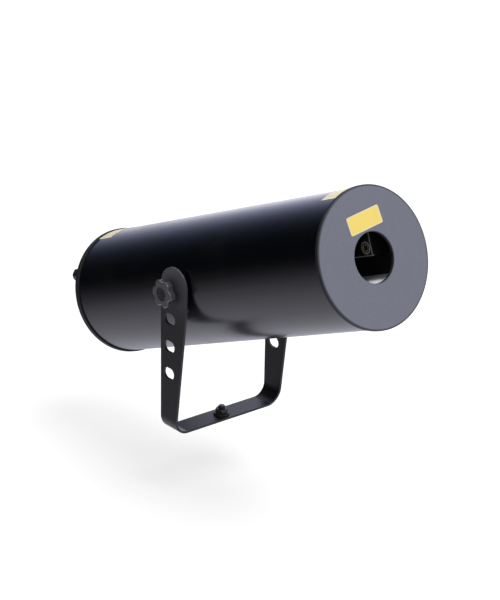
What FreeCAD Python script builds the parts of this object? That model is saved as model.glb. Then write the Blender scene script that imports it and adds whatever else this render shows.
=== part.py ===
import FreeCAD, Part
import math
import operator
import os
from types import SimpleNamespace

import Sketcher
from FreeCAD import Placement, Rotation, Vector

# Laser show projector: a tube housing that tilts in a yoke of flat strip.
# Millimetres. Front is -Y, up is +Z, the tilt axis runs along X.
# Every piece is drawn about the tilt axis at the middle of the tube, with the tube level,
# and is then stood in the part's frame, whose origin is on the hanging bolt, halfway up its free end.

# Driving dimensions, one table for each group of pieces
TUBE = {
    "tube_diameter": 110,
    "tube_wall": 2,
    "tube_length": 329,
    "pivot_from_front": 185.3,
    "rest_tilt": 22,
    "edge_round": 0.6,
    "front_plate_thickness": 3,
    "beam_opening": 40,
    "spigot_depth": 6,
    "spigot_wall": 2,
    "spigot_clearance": 0.15,
    "end_overhang": 1.2,
    "rear_rim": 4.5,
    "rear_cover_thickness": 2.5,
    "rod_diameter": 6,
    "rod_inset": 7,
    "rod_boss_diameter": 11,
    "rod_boss_height": 8,
    "rod_bottom_gap": 1,
    "cap_nut_flats": 12,
    "cap_nut_hex_height": 12,
    "cap_nut_dome": 5.7,
    "cap_nut_thread": 12,
    "hex_bevel": 0.6,
    "thread_clearance": 0.05,
    "hole_clearance": 0.2,
    "overrun": 2,
}
YOKE = {
    "strip_thickness": 2,
    "arm_width": 32.6,
    "arm_lead": 3.9,
    "arm_rise": 22,
    "arm_drop": 127,
    "shoulder_drop": 18,
    "taper_drop": 126,
    "crossbar_width": 19.5,
    "bend_radius": 12,
    "arm_hole": 10,
    "arm_slot_length": 13.5,
    "arm_hole_pitch": 24.5,
    "spacer_diameter": 20,
    "spacer_thickness": 2,
    "running_slack": 0.1,
    "pivot_nut_diameter": 16,
    "pivot_nut_length": 8.5,
    "hanging_bolt_diameter": 6,
    "hanging_head_diameter": 14,
    "hanging_head_height": 1.6,
    "hanging_head_bevel": 0.9,
    "hanging_nut_flats": 10,
    "hanging_core_diameter": 5,
    "hanging_end_length": 2.2,
    "hanging_end_bevel": 0.6,
    "hanging_washer_diameter": 14,
    "hanging_washer_thickness": 1.6,
    "hanging_nut_height": 3.6,
    "hanging_nut_dome": 6,
}
KNOB = {
    "stud_diameter": 8,
    "knob_diameter": 24,
    "knob_boss_diameter": 15,
    "knob_boss_height": 1.5,
    "knob_head_height": 6.5,
    "knob_scallop_diameter": 8,
    "knob_scallop_depth": 2.1,
    "knob_lobe_round": 1.4,
    "knob_edge_round": 1.2,
    "knob_recess_diameter": 12,
    "knob_recess_depth": 2.4,
    "knob_washer_diameter": 17,
    "knob_washer_thickness": 1.6,
}
BENCH = {
    "bench_height": 34,
    "bench_thickness": 2,
    "bench_side_gap": 2.2,
    "bench_front_inset": 8,
    "bench_rear_inset": 36,
    "bench_corner": 4,
    "support_thickness": 8,
    "support_inset": 70,
    "support_clearance": 0.3,
    "screw_diameter": 3,
    "screw_head_diameter": 5.5,
    "screw_head_height": 2,
    "screw_bite": 7,
    "bench_screw_spacing": 52,
}
OPTICS = {
    "beam_back": 27.1,
    "beam_height": 6.2,
    "laser_face": 20,
    "laser_block_depth": 26,
    "laser_block_length": 26,
    "laser_block_height": 29,
    "laser_block_drop": 6.7,
    "laser_block_nose": 6.1,
    "laser_block_gap": 0.5,
    "laser_boss_wall": 2.4,
    "laser_barrel_diameter": 9,
    "laser_barrel_length": 21,
    "laser_lens_diameter": 5,
    "laser_lens_thickness": 1.6,
    "laser_lens_sink": 0.8,
    "mirror_offset": 6,
    "mirror_diameter": 20,
    "mirror_thickness": 2,
    "mirror_lean": 2,
    "mirror_gap": 0.2,
    "hub_diameter": 8,
    "hub_length": 6,
    "shaft_diameter": 2,
    "motor_diameter": 20,
    "motor_length": 24,
    "motor_boss_diameter": 7,
    "motor_boss_height": 1.6,
    "motor_shoulder": 1.5,
    "scan_plate_thickness": 2,
    "scan_plate_width": 26,
    "scan_plate_rise": 13,
    "scan_foot_length": 24,
    "scan_screw_spacing": 16,
    "scan_gap": 1.5,
}
ELECTRICS = {
    "board_length": 70,
    "board_width": 60,
    "board_thickness": 1.6,
    "board_behind_front": 125,
    "board_inset": 5,
    "standoff_height": 8,
    "standoff_diameter": 6,
    "chip_length": 18,
    "chip_width": 12,
    "chip_height": 4,
    "capacitor_diameter": 10,
    "capacitor_height": 14,
    "connector_length": 14,
    "connector_width": 6,
    "connector_height": 8,
    "core_width": 48,
    "core_depth": 22,
    "core_height": 40,
    "core_limb": 8,
    "core_inset": 49.7,
    "coil_slack": 0.2,
    "coil_overhang": 7,
    "coil_corner": 4,
    "lead_diameter": 1.6,
    "lead_bend": 4,
    "lead_run": 10,
    "lead_lane": 36,
    "lead_lift": 4,
}
REAR = {
    "fan_size": 30,
    "fan_depth": 8,
    "fan_inset": 21.65,
    "fan_corner": 3,
    "fan_bore": 28,
    "fan_rotor_diameter": 26.6,
    "fan_hub_diameter": 14,
    "fan_hub_depth": 4.8,
    "fan_shaft_diameter": 3,
    "fan_spider_depth": 2,
    "fan_gap": 0.75,
    "fan_strut_bite": 0.5,
    "fan_strut_width": 2.5,
    "fan_blade_chord": 6,
    "fan_blade_thickness": 0.9,
    "fan_screw_spacing": 24,
    "guard_wire": 1.6,
    "guard_eye_diameter": 7.6,
    "guard_eye_thickness": 1.2,
    "guard_ring_step": 4.6,
    "inlet_inset": 24.45,
    "inlet_flange_width": 50,
    "inlet_flange_height": 22.5,
    "inlet_flange_thickness": 2.5,
    "inlet_corner": 4,
    "inlet_body_width": 27,
    "inlet_body_height": 19.6,
    "inlet_body_depth": 20,
    "inlet_pocket_width": 23.8,
    "inlet_pocket_height": 16.2,
    "inlet_pocket_depth": 16,
    "inlet_pocket_bevel": 4,
    "inlet_pin_width": 2,
    "inlet_pin_height": 4,
    "inlet_pin_length": 14,
    "inlet_pin_spacing": 14,
    "inlet_pin_offset": 2,
    "inlet_screw_spacing": 40,
    "switch_inset": 21.65,
    "switch_rise": 0.3,
    "switch_flange_width": 10.5,
    "switch_flange_height": 15,
    "switch_flange_thickness": 2,
    "switch_body_width": 8.5,
    "switch_body_height": 13.5,
    "switch_body_depth": 12,
    "switch_floor": 2,
    "switch_mouth_width": 6.6,
    "switch_mouth_height": 11.6,
    "rocker_width": 6.2,
    "rocker_radius": 5.4,
    "rocker_middle": 2.8,
    "rocker_slope": 11,
    "rocker_root": 3,
    "rocker_sink": 1.8,
    "rocker_pin_diameter": 1.6,
    "rocker_pin_length": 7.8,
    "fuse_inset": 18.65,
    "fuse_rise": 0.6,
    "fuse_flange_diameter": 16,
    "fuse_flange_thickness": 2,
    "fuse_body_diameter": 12,
    "fuse_body_length": 32,
    "fuse_bore": 8.4,
    "fuse_floor": 3,
    "fuse_cap_diameter": 12.4,
    "fuse_cap_height": 6,
    "fuse_plug_diameter": 8.2,
    "fuse_plug_length": 6,
    "fuse_slot_width": 1.4,
    "fuse_slot_depth": 1.5,
    "fuse_link_diameter": 5.2,
    "fuse_link_length": 20,
    "fuse_glass_diameter": 4.8,
    "fuse_end_length": 5,
    "level_inset": 10.05,
    "level_rise": 0.5,
    "level_pot_diameter": 12,
    "level_pot_depth": 8,
    "level_bush_diameter": 7,
    "level_bush_length": 5,
    "level_shaft_diameter": 6,
    "level_shaft_depth": 8,
    "level_nut_flats": 10,
    "level_nut_height": 2.2,
    "level_knob_diameter": 12,
    "level_knob_height": 11,
    "level_mark_width": 1.2,
    "level_mark_depth": 0.5,
    "level_knob_round": 0.8,
    "microphone_inset": 7.65,
    "microphone_rise": -4,
    "microphone_diameter": 9.6,
    "microphone_depth": 6.5,
    "microphone_hole": 3,
}
LABELS = {
    "label_thickness": 0.25,
    "label_corner": 1.5,
    "front_label_width": 34.5,
    "front_label_height": 14.5,
    "front_label_across": -2.3,
    "front_label_rise": 29.3,
    "front_label_lean": 8.5,
    "top_label_length": 18,
    "top_label_arc": 34,
    "top_label_turn": 5,
    "top_label_inset": 0.8,
}
SIZES = {**TUBE, **YOKE, **KNOB, **BENCH, **OPTICS, **ELECTRICS, **REAR, **LABELS}

# Counts, and shares of the sizes that they follow
ROD_ANGLES = (30, 150, 270)
SPARE_SLOTS = 3
KNOB_LOBES = 6
FAN_BLADES = 7
FAN_BLADE_PITCH = 42
GUARD_RINGS = 3
FAN_HUB_WALL_SHARE = 0.5
GUARD_WELD_SHARE = 0.8

doc = FreeCAD.newDocument("laser_show_projector")
sheet = doc.addObject("Spreadsheet::Sheet", "Sizes")
for row, (alias, length) in enumerate(SIZES.items(), start=1):
    sheet.set(f"A{row}", alias)
    sheet.set(f"B{row}", str(length))
    sheet.setAlias(f"B{row}", alias)
doc.recompute()


class Size:
    """A length worked out from the sheet: its number, and the formula that the document keeps."""

    def __init__(self, number, text):
        self.number = number
        self.text = text

    def __add__(self, other):
        return combine(self, "+", other)

    def __radd__(self, other):
        return combine(other, "+", self)

    def __sub__(self, other):
        return combine(self, "-", other)

    def __rsub__(self, other):
        return combine(other, "-", self)

    def __mul__(self, other):
        return combine(self, "*", other)

    def __rmul__(self, other):
        return combine(other, "*", self)

    def __truediv__(self, other):
        return combine(self, "/", other)

    def __neg__(self):
        return combine(0, "-", self)


SIGNS = {"+": operator.add, "-": operator.sub, "*": operator.mul, "/": operator.truediv}


def sized(value):
    return value if isinstance(value, Size) else Size(value, repr(value))


def combine(left, sign, right):
    left, right = sized(left), sized(right)
    return Size(SIGNS[sign](left.number, right.number), f"({left.text} {sign} {right.text})")


def root(value):
    return Size(math.sqrt(value.number), f"sqrt({value.text})")


d = SimpleNamespace(**{alias: Size(sheet.get(alias), "Sizes." + alias) for alias in SIZES})
ZERO = sized(0)
HERE = (ZERO, ZERO, ZERO)

# Places that several pieces share
TUBE_FRONT = -d.pivot_from_front
TUBE_REAR = d.tube_length - d.pivot_from_front
TUBE_BORE = d.tube_diameter / 2 - d.tube_wall
PLATE_FACE = TUBE_FRONT - d.front_plate_thickness
COVER_OUT = TUBE_REAR + d.rear_rim
COVER_IN = COVER_OUT - d.rear_cover_thickness
ARM_IN = d.tube_diameter / 2 + d.spacer_thickness
ARM_OUT = ARM_IN + d.strip_thickness
ROD_RADIUS = TUBE_BORE - d.rod_inset
NUT_TOP = d.hanging_washer_thickness + d.hanging_nut_height - d.arm_drop
PIVOT_HEIGHT = -NUT_TOP - d.hanging_end_length / 2
BENCH_TOP = d.bench_height - TUBE_BORE
BEAM_Y = TUBE_FRONT + d.beam_back
FAN_BACK = COVER_IN
FAN_FRONT = COVER_IN - d.fan_depth
FAN_Z = TUBE_BORE - d.fan_inset
INLET_Z = d.inlet_inset - TUBE_BORE
SWITCH_X = TUBE_BORE - d.switch_inset
LEVEL_X = TUBE_BORE - d.level_inset
FUSE_X = d.fuse_inset - TUBE_BORE
MICROPHONE_X = d.microphone_inset - TUBE_BORE

TURNS = {
    "z": Rotation(),
    "x": Rotation(Vector(0, 1, 0), 90),
    "-x": Rotation(Vector(0, 1, 0), -90),
    "y": Rotation(Vector(1, 0, 0), -90),
    "-y": Rotation(Vector(1, 0, 0), 90),
}


def bind(thing, **sizes):
    for name, value in sizes.items():
        thing.setExpression(name, sized(value).text)
    return thing


def place(thing, at, turn=Rotation()):
    thing.Placement = Placement(Vector(), turn)
    for letter, value in zip("xyz", at):
        thing.setExpression("Placement.Base." + letter, sized(value).text)
    return thing


def cylinder(radius, length, at=HERE, along="z"):
    made = bind(doc.addObject("Part::Cylinder", "cylinder"), Radius=radius, Height=length)
    return place(made, at, TURNS[along])


def cone(low, high, length, at=HERE, along="z"):
    made = bind(doc.addObject("Part::Cone", "cone"), Radius1=low, Radius2=high, Height=length)
    return place(made, at, TURNS[along])


def ball(radius, at=HERE):
    return place(bind(doc.addObject("Part::Sphere", "ball"), Radius=radius), at)


def torus(radius, wire, at, along):
    made = bind(doc.addObject("Part::Torus", "torus"), Radius1=radius, Radius2=wire)
    return place(made, at, TURNS[along])


def box(across, deep, high, middle):
    made = bind(doc.addObject("Part::Box", "box"), Length=across, Width=deep, Height=high)
    x, y, z = middle
    return place(made, (x - across / 2, y - deep / 2, z - high / 2))


def fuse(*shapes):
    made = doc.addObject("Part::MultiFuse", "fuse")
    made.Shapes = list(shapes)
    return made


def common(*shapes):
    made = doc.addObject("Part::MultiCommon", "common")
    made.Shapes = list(shapes)
    return made


def cut(base, *tools):
    made = doc.addObject("Part::Cut", "cut")
    made.Base = base
    made.Tool = tools[0] if len(tools) == 1 else fuse(*tools)
    return made


def group(*shapes):
    made = doc.addObject("Part::Compound", "group")
    made.Links = list(shapes)
    return made


def ring(outer, inner, length, at=HERE, along="z"):
    """A washer or tube. The bore's tool overruns both ends."""
    bore = cylinder(inner, length + 2 * d.overrun, shift(at, along, -d.overrun), along)
    return cut(cylinder(outer, length, at, along), bore)


def shift(at, along, by):
    x, y, z = at
    steps = {
        "x": (x + by, y, z),
        "-x": (x - by, y, z),
        "y": (x, y + by, z),
        "-y": (x, y - by, z),
        "z": (x, y, z + by),
    }
    return steps[along]


def hexagon(flats, height, at=HERE, along="z"):
    """A hexagon bar with both ends' corners turned off."""
    corner = flats / math.sqrt(3)
    bar = bind(doc.addObject("Part::Prism", "hexagon"), Circumradius=corner, Height=height)
    bar.Polygon = 6
    place(bar, at, TURNS[along])
    turned = cylinder(corner + d.hex_bevel / 2, height, at, along)
    return common(bar, soften(turned, d.hex_bevel * 3 / 2, is_round, "Part::Chamfer"))


def soften(base, radius, chosen, kind="Part::Fillet"):
    doc.recompute()
    made = doc.addObject(kind, "softened")
    made.Base = base
    edges = enumerate(base.Shape.Edges, start=1)
    made.Edges = [(number, radius.number, radius.number) for number, edge in edges if chosen(edge)]
    return made


def is_round(edge):
    return isinstance(edge.Curve, Part.Circle)


def runs(letter):
    """Picks straight edges that run along one axis."""
    def chosen(edge):
        return isinstance(edge.Curve, Part.Line) and abs(getattr(edge.Curve.Direction, letter)) > 0.999

    return chosen


pieces = []


def keep(label, shape, at, turn=Rotation()):
    """Name a finished sub-part and stand it in the part's frame."""
    shape.Label = label
    pieces.append(place(shape, at, turn))


def keep_yoke(label, shape):
    keep(label, shape, (ZERO, ZERO, PIVOT_HEIGHT))


def keep_housing(label, shape):
    """The housing's pieces turn about the pivot with the tube, front up at rest."""
    keep(label, shape, (ZERO, ZERO, PIVOT_HEIGHT), Rotation(Vector(1, 0, 0), -1))
    shape.setExpression("Placement.Rotation.Angle", (-d.rest_tilt).text)


# Sketched bodies: circles and rectangles on a plane square to the tube


def body(name):
    return doc.addObject("PartDesign::Body", name)


def across_tube(owner, y):
    """A sketch across the tube at y. Its x is X, its y is Z, and it faces the front."""
    drawing = owner.newObject("Sketcher::SketchObject", "section")
    plane = next(item for item in owner.Origin.OriginFeatures if item.Role == "XZ_Plane")
    drawing.AttachmentSupport = [(plane, "")]
    drawing.MapMode = "FlatFace"
    drawing.setExpression("AttachmentOffset.Base.z", (-y).text)
    return drawing


def level(owner, z):
    """A level sketch at height z."""
    drawing = owner.newObject("Sketcher::SketchObject", "plan")
    plane = next(item for item in owner.Origin.OriginFeatures if item.Role == "XY_Plane")
    drawing.AttachmentSupport = [(plane, "")]
    drawing.MapMode = "FlatFace"
    drawing.setExpression("AttachmentOffset.Base.z", z.text)
    return drawing


def limit(drawing, kind, ends, value):
    number = drawing.addConstraint(Sketcher.Constraint(kind, *ends, value.number))
    drawing.setExpression(f"Constraints[{number}]", value.text)


def circle(drawing, radius, across=ZERO, up=ZERO):
    middle = Vector(across.number, up.number, 0)
    line = drawing.addGeometry(Part.Circle(middle, Vector(0, 0, 1), radius.number))
    limit(drawing, "Radius", (line,), radius)
    limit(drawing, "DistanceX", (-1, 1, line, 3), across)
    limit(drawing, "DistanceY", (-1, 1, line, 3), up)


def rectangle(drawing, wide, high, across=ZERO, up=ZERO):
    left, right = across - wide / 2, across + wide / 2
    low, top = up - high / 2, up + high / 2
    corners = [(left, low), (right, low), (right, top), (left, top)]
    points = [Vector(x.number, y.number, 0) for x, y in corners]
    lines = [drawing.addGeometry(Part.LineSegment(points[i], points[(i + 1) % 4])) for i in range(4)]
    for i in range(4):
        drawing.addConstraint(Sketcher.Constraint("Coincident", lines[i], 2, lines[(i + 1) % 4], 1))
        drawing.addConstraint(Sketcher.Constraint("Vertical" if i % 2 else "Horizontal", lines[i]))
    for corner in (0, 2):
        limit(drawing, "DistanceX", (-1, 1, lines[corner], 1), corners[corner][0])
        limit(drawing, "DistanceY", (-1, 1, lines[corner], 1), corners[corner][1])


def pad(owner, drawing, length, rearward=False):
    made = owner.newObject("PartDesign::Pad", "pad")
    made.Profile = drawing
    made.Reversed = rearward
    return bind(made, Length=length)


def pocket(owner, drawing, length):
    """Cuts away from the sketch's face: rearward for a sketch across the tube, downward for a level one."""
    doc.recompute()
    before = owner.Shape.Volume
    made = owner.newObject("PartDesign::Pocket", "pocket")
    made.Profile = drawing
    bind(made, Length=length)
    doc.recompute()
    if owner.Shape.Volume >= before:
        raise RuntimeError(f"{owner.Name}: a pocket removed nothing")
    return made


def on_rods():
    """Where the three tie rods cross a section, as (across, up)."""
    for angle in ROD_ANGLES:
        turn = math.radians(angle)
        yield ROD_RADIUS * round(math.cos(turn), 6), ROD_RADIUS * round(math.sin(turn), 6)


def on_square(spacing, across=ZERO, up=ZERO):
    for x_side in (-1, 1):
        for z_side in (-1, 1):
            yield across + x_side * spacing / 2, up + z_side * spacing / 2


# Tube: a plain drawn tube, drilled through both sides for the pivot studs
tube = body("tube")
section = across_tube(tube, TUBE_REAR)
circle(section, d.tube_diameter / 2)
circle(section, TUBE_BORE)
pad(tube, section, d.tube_length)
pivot_bore = cylinder(
    d.arm_hole / 2,
    d.tube_diameter + 2 * d.overrun,
    (-d.tube_diameter / 2 - d.overrun, ZERO, ZERO),
    "x",
)
keep_housing("tube_shell", cut(tube, pivot_bore))


# Front plate: a disc a little wider than the tube, with a spigot to centre it and a blind boss for each rod
END_RADIUS = d.tube_diameter / 2 + d.end_overhang
front = body("front")
section = across_tube(front, TUBE_FRONT)
circle(section, END_RADIUS)
pad(front, section, d.front_plate_thickness)
section = across_tube(front, TUBE_FRONT)
circle(section, TUBE_BORE - d.spigot_clearance)
circle(section, TUBE_BORE - d.spigot_clearance - d.spigot_wall)
pad(front, section, d.spigot_depth, rearward=True)
section = across_tube(front, TUBE_FRONT)
for x, z in on_rods():
    circle(section, d.rod_boss_diameter / 2, x, z)
pad(front, section, d.rod_boss_height, rearward=True)
section = across_tube(front, TUBE_FRONT + d.rod_bottom_gap)
for x, z in on_rods():
    circle(section, d.rod_diameter / 2 + d.thread_clearance, x, z)
pocket(front, section, d.rod_boss_height)
section = across_tube(front, PLATE_FACE)
circle(section, d.beam_opening / 2)
pocket(front, section, d.front_plate_thickness)


def on_plate_face(edge):
    return is_round(edge) and abs(edge.CenterOfMass.y - PLATE_FACE.number) < d.thread_clearance.number


keep_housing("front_plate", soften(front, d.edge_round, on_plate_face))


# Rear cover: a shallow cap as wide as the front plate, with a spigot, cut out for everything that it carries
cover = body("cover")
section = across_tube(cover, COVER_OUT)
circle(section, END_RADIUS)
pad(cover, section, d.rear_cover_thickness)
section = across_tube(cover, COVER_IN)
circle(section, END_RADIUS)
circle(section, TUBE_BORE - d.spigot_clearance - d.spigot_wall)
pad(cover, section, COVER_IN - TUBE_REAR)
section = across_tube(cover, TUBE_REAR)
circle(section, TUBE_BORE - d.spigot_clearance)
circle(section, TUBE_BORE - d.spigot_clearance - d.spigot_wall)
pad(cover, section, d.spigot_depth)
section = across_tube(cover, COVER_IN)
circle(section, d.fan_bore / 2, ZERO, FAN_Z)
for x, z in on_square(d.fan_screw_spacing, ZERO, FAN_Z):
    circle(section, d.screw_diameter / 2 + d.hole_clearance, x, z)
for x, z in on_rods():
    circle(section, d.rod_diameter / 2 + d.hole_clearance, x, z)
rectangle(
    section,
    d.inlet_body_width + 2 * d.hole_clearance,
    d.inlet_body_height + 2 * d.hole_clearance,
    ZERO,
    INLET_Z,
)
for side in (-1, 1):
    circle(section, d.screw_diameter / 2 + d.thread_clearance, side * d.inlet_screw_spacing / 2, INLET_Z)
rectangle(
    section,
    d.switch_body_width + 2 * d.hole_clearance,
    d.switch_body_height + 2 * d.hole_clearance,
    SWITCH_X,
    d.switch_rise,
)
circle(section, d.fuse_body_diameter / 2 + d.hole_clearance, FUSE_X, d.fuse_rise)
circle(section, d.level_bush_diameter / 2 + d.hole_clearance, LEVEL_X, d.level_rise)
circle(section, d.microphone_hole / 2, MICROPHONE_X, d.microphone_rise)
pocket(cover, section, d.rear_cover_thickness)


def on_cover_rim(edge):
    if not is_round(edge):
        return False
    at_back = abs(edge.CenterOfMass.y - COVER_OUT.number) < d.thread_clearance.number
    return at_back and abs(edge.Curve.Radius - END_RADIUS.number) < d.thread_clearance.number


keep_housing("rear_cover", soften(cover, d.edge_round, on_cover_rim))


# Tie rods pull the front plate and the rear cover onto the tube; domed cap nuts close them at the back
ROD_START = TUBE_FRONT + d.rod_bottom_gap
ROD_END = COVER_OUT + d.cap_nut_thread
rods = [cylinder(d.rod_diameter / 2, ROD_END - ROD_START, (x, ROD_START, z), "y") for x, z in on_rods()]
keep_housing("tie_rods", group(*rods))


def cap_nut(x, z):
    hex_end = COVER_OUT + d.cap_nut_hex_height
    dome = common(
        ball(d.cap_nut_dome, (x, hex_end, z)),
        cylinder(d.cap_nut_dome, d.cap_nut_dome, (x, hex_end, z), "y"),
    )
    blank = fuse(hexagon(d.cap_nut_flats, d.cap_nut_hex_height, (x, COVER_OUT, z), "y"), dome)
    thread = cylinder(
        d.rod_diameter / 2 + d.thread_clearance,
        d.cap_nut_thread + d.overrun,
        (x, COVER_OUT - d.overrun, z),
        "y",
    )
    return cut(blank, thread)


keep_housing("tie_rod_nuts", group(*[cap_nut(x, z) for x, z in on_rods()]))


# Pivot: a nut welded inside each side of the tube, and a thin washer between the tube and each arm
NUT_FACE = root(TUBE_BORE * TUBE_BORE - d.pivot_nut_diameter * d.pivot_nut_diameter / 4)
STUD_BORE = d.stud_diameter / 2 + d.thread_clearance
pivot_nuts = []
spacers = []
for side, along in ((-1, "-x"), (1, "x")):
    nut_start = (side * (NUT_FACE - d.pivot_nut_length), ZERO, ZERO)
    pivot_nuts.append(ring(d.pivot_nut_diameter / 2, STUD_BORE, d.pivot_nut_length, nut_start, along))
    spacer_start = (side * d.tube_diameter / 2, ZERO, ZERO)
    spacer = d.spacer_thickness - d.running_slack
    spacers.append(ring(d.spacer_diameter / 2, d.arm_hole / 2, spacer, spacer_start, along))
keep_housing("pivot_nuts", group(*pivot_nuts))
keep_housing("pivot_spacers", group(*spacers))


# Yoke: one strip bent to a U. Its arms reach further to the front than to the rear of the pivot,
# and taper down to the crossbar, with three spare slots below the pivot hole.
def bent(half_width, floor, radius, depth, rise):
    """A block with its two lower edges rounded, which is one face of the bent strip."""
    block = box(2 * half_width, depth, rise - floor, (ZERO, ZERO, (rise + floor) / 2))

    def is_low(edge):
        return runs("y")(edge) and edge.CenterOfMass.z < 0

    return soften(block, radius, is_low)


ARM_DEPTH = d.arm_width + 2 * d.arm_lead
BASE = -d.arm_drop - d.strip_thickness
outside = bent(ARM_OUT, BASE, d.bend_radius + d.strip_thickness, ARM_DEPTH, d.arm_rise)
inside = bent(ARM_IN, -d.arm_drop, d.bend_radius, ARM_DEPTH + 2 * d.overrun, d.arm_rise + d.overrun)
SPAN = 2 * (ARM_OUT + d.overrun)
SPAN_START = -ARM_OUT - d.overrun
TOP_CENTRE = d.arm_rise - d.arm_width / 2
SHOULDER_MIDDLE = (TOP_CENTRE - d.shoulder_drop) / 2
taper = bind(
    doc.addObject("Part::Wedge", "taper"),
    Xmin=SPAN_START,
    Xmax=-SPAN_START,
    Ymin=ZERO,
    Ymax=d.taper_drop - d.shoulder_drop,
    Zmin=-d.arm_lead - d.arm_width / 2,
    Zmax=d.arm_width / 2 - d.arm_lead,
    X2min=SPAN_START,
    X2max=-SPAN_START,
    Z2min=-d.crossbar_width / 2,
    Z2max=d.crossbar_width / 2,
)
outline = fuse(
    cylinder(d.arm_width / 2, SPAN, (SPAN_START, -d.arm_lead, TOP_CENTRE), "x"),
    box(SPAN, d.arm_width, TOP_CENTRE + d.shoulder_drop, (ZERO, -d.arm_lead, SHOULDER_MIDDLE)),
    place(taper, (ZERO, ZERO, -d.shoulder_drop), Rotation(Vector(1, 0, 0), -90)),
    box(SPAN, d.crossbar_width, -d.taper_drop - BASE, (ZERO, ZERO, (BASE - d.taper_drop) / 2)),
)


def arm_slot(drop):
    reach = (d.arm_slot_length - d.arm_hole) / 2
    ends = [cylinder(d.arm_hole / 2, SPAN, (SPAN_START, side * reach, -drop), "x") for side in (-1, 1)]
    return fuse(*ends, box(SPAN, 2 * reach, d.arm_hole, (ZERO, ZERO, -drop)))


arm_slots = [arm_slot(number * d.arm_hole_pitch) for number in range(1, SPARE_SLOTS + 1)]
pivot_hole = cylinder(d.arm_hole / 2, SPAN, (SPAN_START, ZERO, ZERO), "x")
bolt_hole = cylinder(
    d.hanging_bolt_diameter / 2 + d.hole_clearance,
    d.strip_thickness + 2 * d.overrun,
    (ZERO, ZERO, BASE - d.overrun),
)
keep_yoke("yoke_bracket", cut(common(cut(outside, inside), outline), pivot_hole, *arm_slots, bolt_hole))


# Hanging bolt: a low-headed bolt up through the crossbar, with its washer and domed nut inside the U.
# Inside the nut it is drawn at the thread's core.
CROSSBAR_TOP = -d.arm_drop
NUT_SEAT = CROSSBAR_TOP + d.hanging_washer_thickness
bolt_end = d.hanging_bolt_diameter / 2
bolt_core = d.hanging_core_diameter / 2
head_rim = d.hanging_head_diameter / 2
head_at = (ZERO, ZERO, BASE - d.hanging_head_height)
tip_at = (ZERO, ZERO, NUT_TOP + d.hanging_end_length)
bolt = fuse(
    cone(head_rim - d.hanging_head_bevel, head_rim, d.hanging_head_height, head_at),
    cylinder(bolt_end, NUT_SEAT - BASE, (ZERO, ZERO, BASE)),
    cylinder(bolt_core, d.hanging_nut_height, (ZERO, ZERO, NUT_SEAT)),
    cylinder(bolt_end, d.hanging_end_length, (ZERO, ZERO, NUT_TOP)),
    cone(bolt_end, bolt_end - d.hanging_end_bevel, d.hanging_end_bevel, tip_at),
)
keep_yoke("hanging_bolt", bolt)
bolt_bore = bolt_end + d.hole_clearance
washer_at = (ZERO, ZERO, CROSSBAR_TOP)
keep_yoke(
    "hanging_washer",
    ring(d.hanging_washer_diameter / 2, bolt_bore, d.hanging_washer_thickness, washer_at),
)
nut_at = (ZERO, ZERO, NUT_SEAT)
nut_thread = cylinder(
    bolt_core + d.thread_clearance,
    d.hanging_nut_height + 2 * d.overrun,
    shift(nut_at, "z", -d.overrun),
)
nut_bar = hexagon(d.hanging_nut_flats, d.hanging_nut_height, nut_at)
keep_yoke("hanging_nut", cut(common(nut_bar, ball(d.hanging_nut_dome, nut_at)), nut_thread))


# Star knobs: a moulded lobed head on a steel stud that screws into the tube's pivot nut, over a plain washer
WASHER_FACE = ARM_OUT + d.running_slack
KNOB_FACE = WASHER_FACE + d.knob_washer_thickness + d.running_slack
KNOB_TOP = d.knob_boss_height + d.knob_head_height


def star():
    """The knob's head, drawn upright with its boss at the bottom."""
    scallop_at = d.knob_diameter / 2 - d.knob_scallop_depth + d.knob_scallop_diameter / 2
    scallops = []
    for lobe in range(KNOB_LOBES):
        turn = 2 * math.pi * lobe / KNOB_LOBES
        x, y = scallop_at * round(math.cos(turn), 6), scallop_at * round(math.sin(turn), 6)
        at = (x, y, d.knob_boss_height - d.overrun)
        scallops.append(cylinder(d.knob_scallop_diameter / 2, d.knob_head_height + 2 * d.overrun, at))
    head = cut(cylinder(d.knob_diameter / 2, d.knob_head_height, (ZERO, ZERO, d.knob_boss_height)), *scallops)
    lobed = soften(head, d.knob_lobe_round, runs("z"))

    def is_rim(edge):
        return edge.BoundBox.ZLength < d.running_slack.number

    rounded = soften(lobed, d.knob_edge_round, is_rim)
    boss = cylinder(d.knob_boss_diameter / 2, KNOB_TOP / 2)
    recess = cylinder(d.knob_recess_diameter / 2, KNOB_TOP, (ZERO, ZERO, KNOB_TOP - d.knob_recess_depth))
    bore = cylinder(STUD_BORE, KNOB_TOP + d.overrun, (ZERO, ZERO, -d.overrun))
    return cut(fuse(rounded, boss), recess, bore)


STUD_REACH = KNOB_FACE + KNOB_TOP - d.knob_recess_depth - (NUT_FACE - d.pivot_nut_length)
for name, side, along in (("left", -1, "-x"), ("right", 1, "x")):
    keep(f"{name}_knob", star(), (side * KNOB_FACE, ZERO, PIVOT_HEIGHT), TURNS[along])
    stud_at = (side * (NUT_FACE - d.pivot_nut_length), ZERO, PIVOT_HEIGHT)
    keep(f"{name}_knob_stud", cylinder(d.stud_diameter / 2, STUD_REACH), stud_at, TURNS[along])
    washer = ring(d.knob_washer_diameter / 2, d.stud_diameter / 2 + d.hole_clearance, d.knob_washer_thickness)
    keep(f"{name}_knob_washer", washer, (side * WASHER_FACE, ZERO, PIVOT_HEIGHT), TURNS[along])


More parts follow.
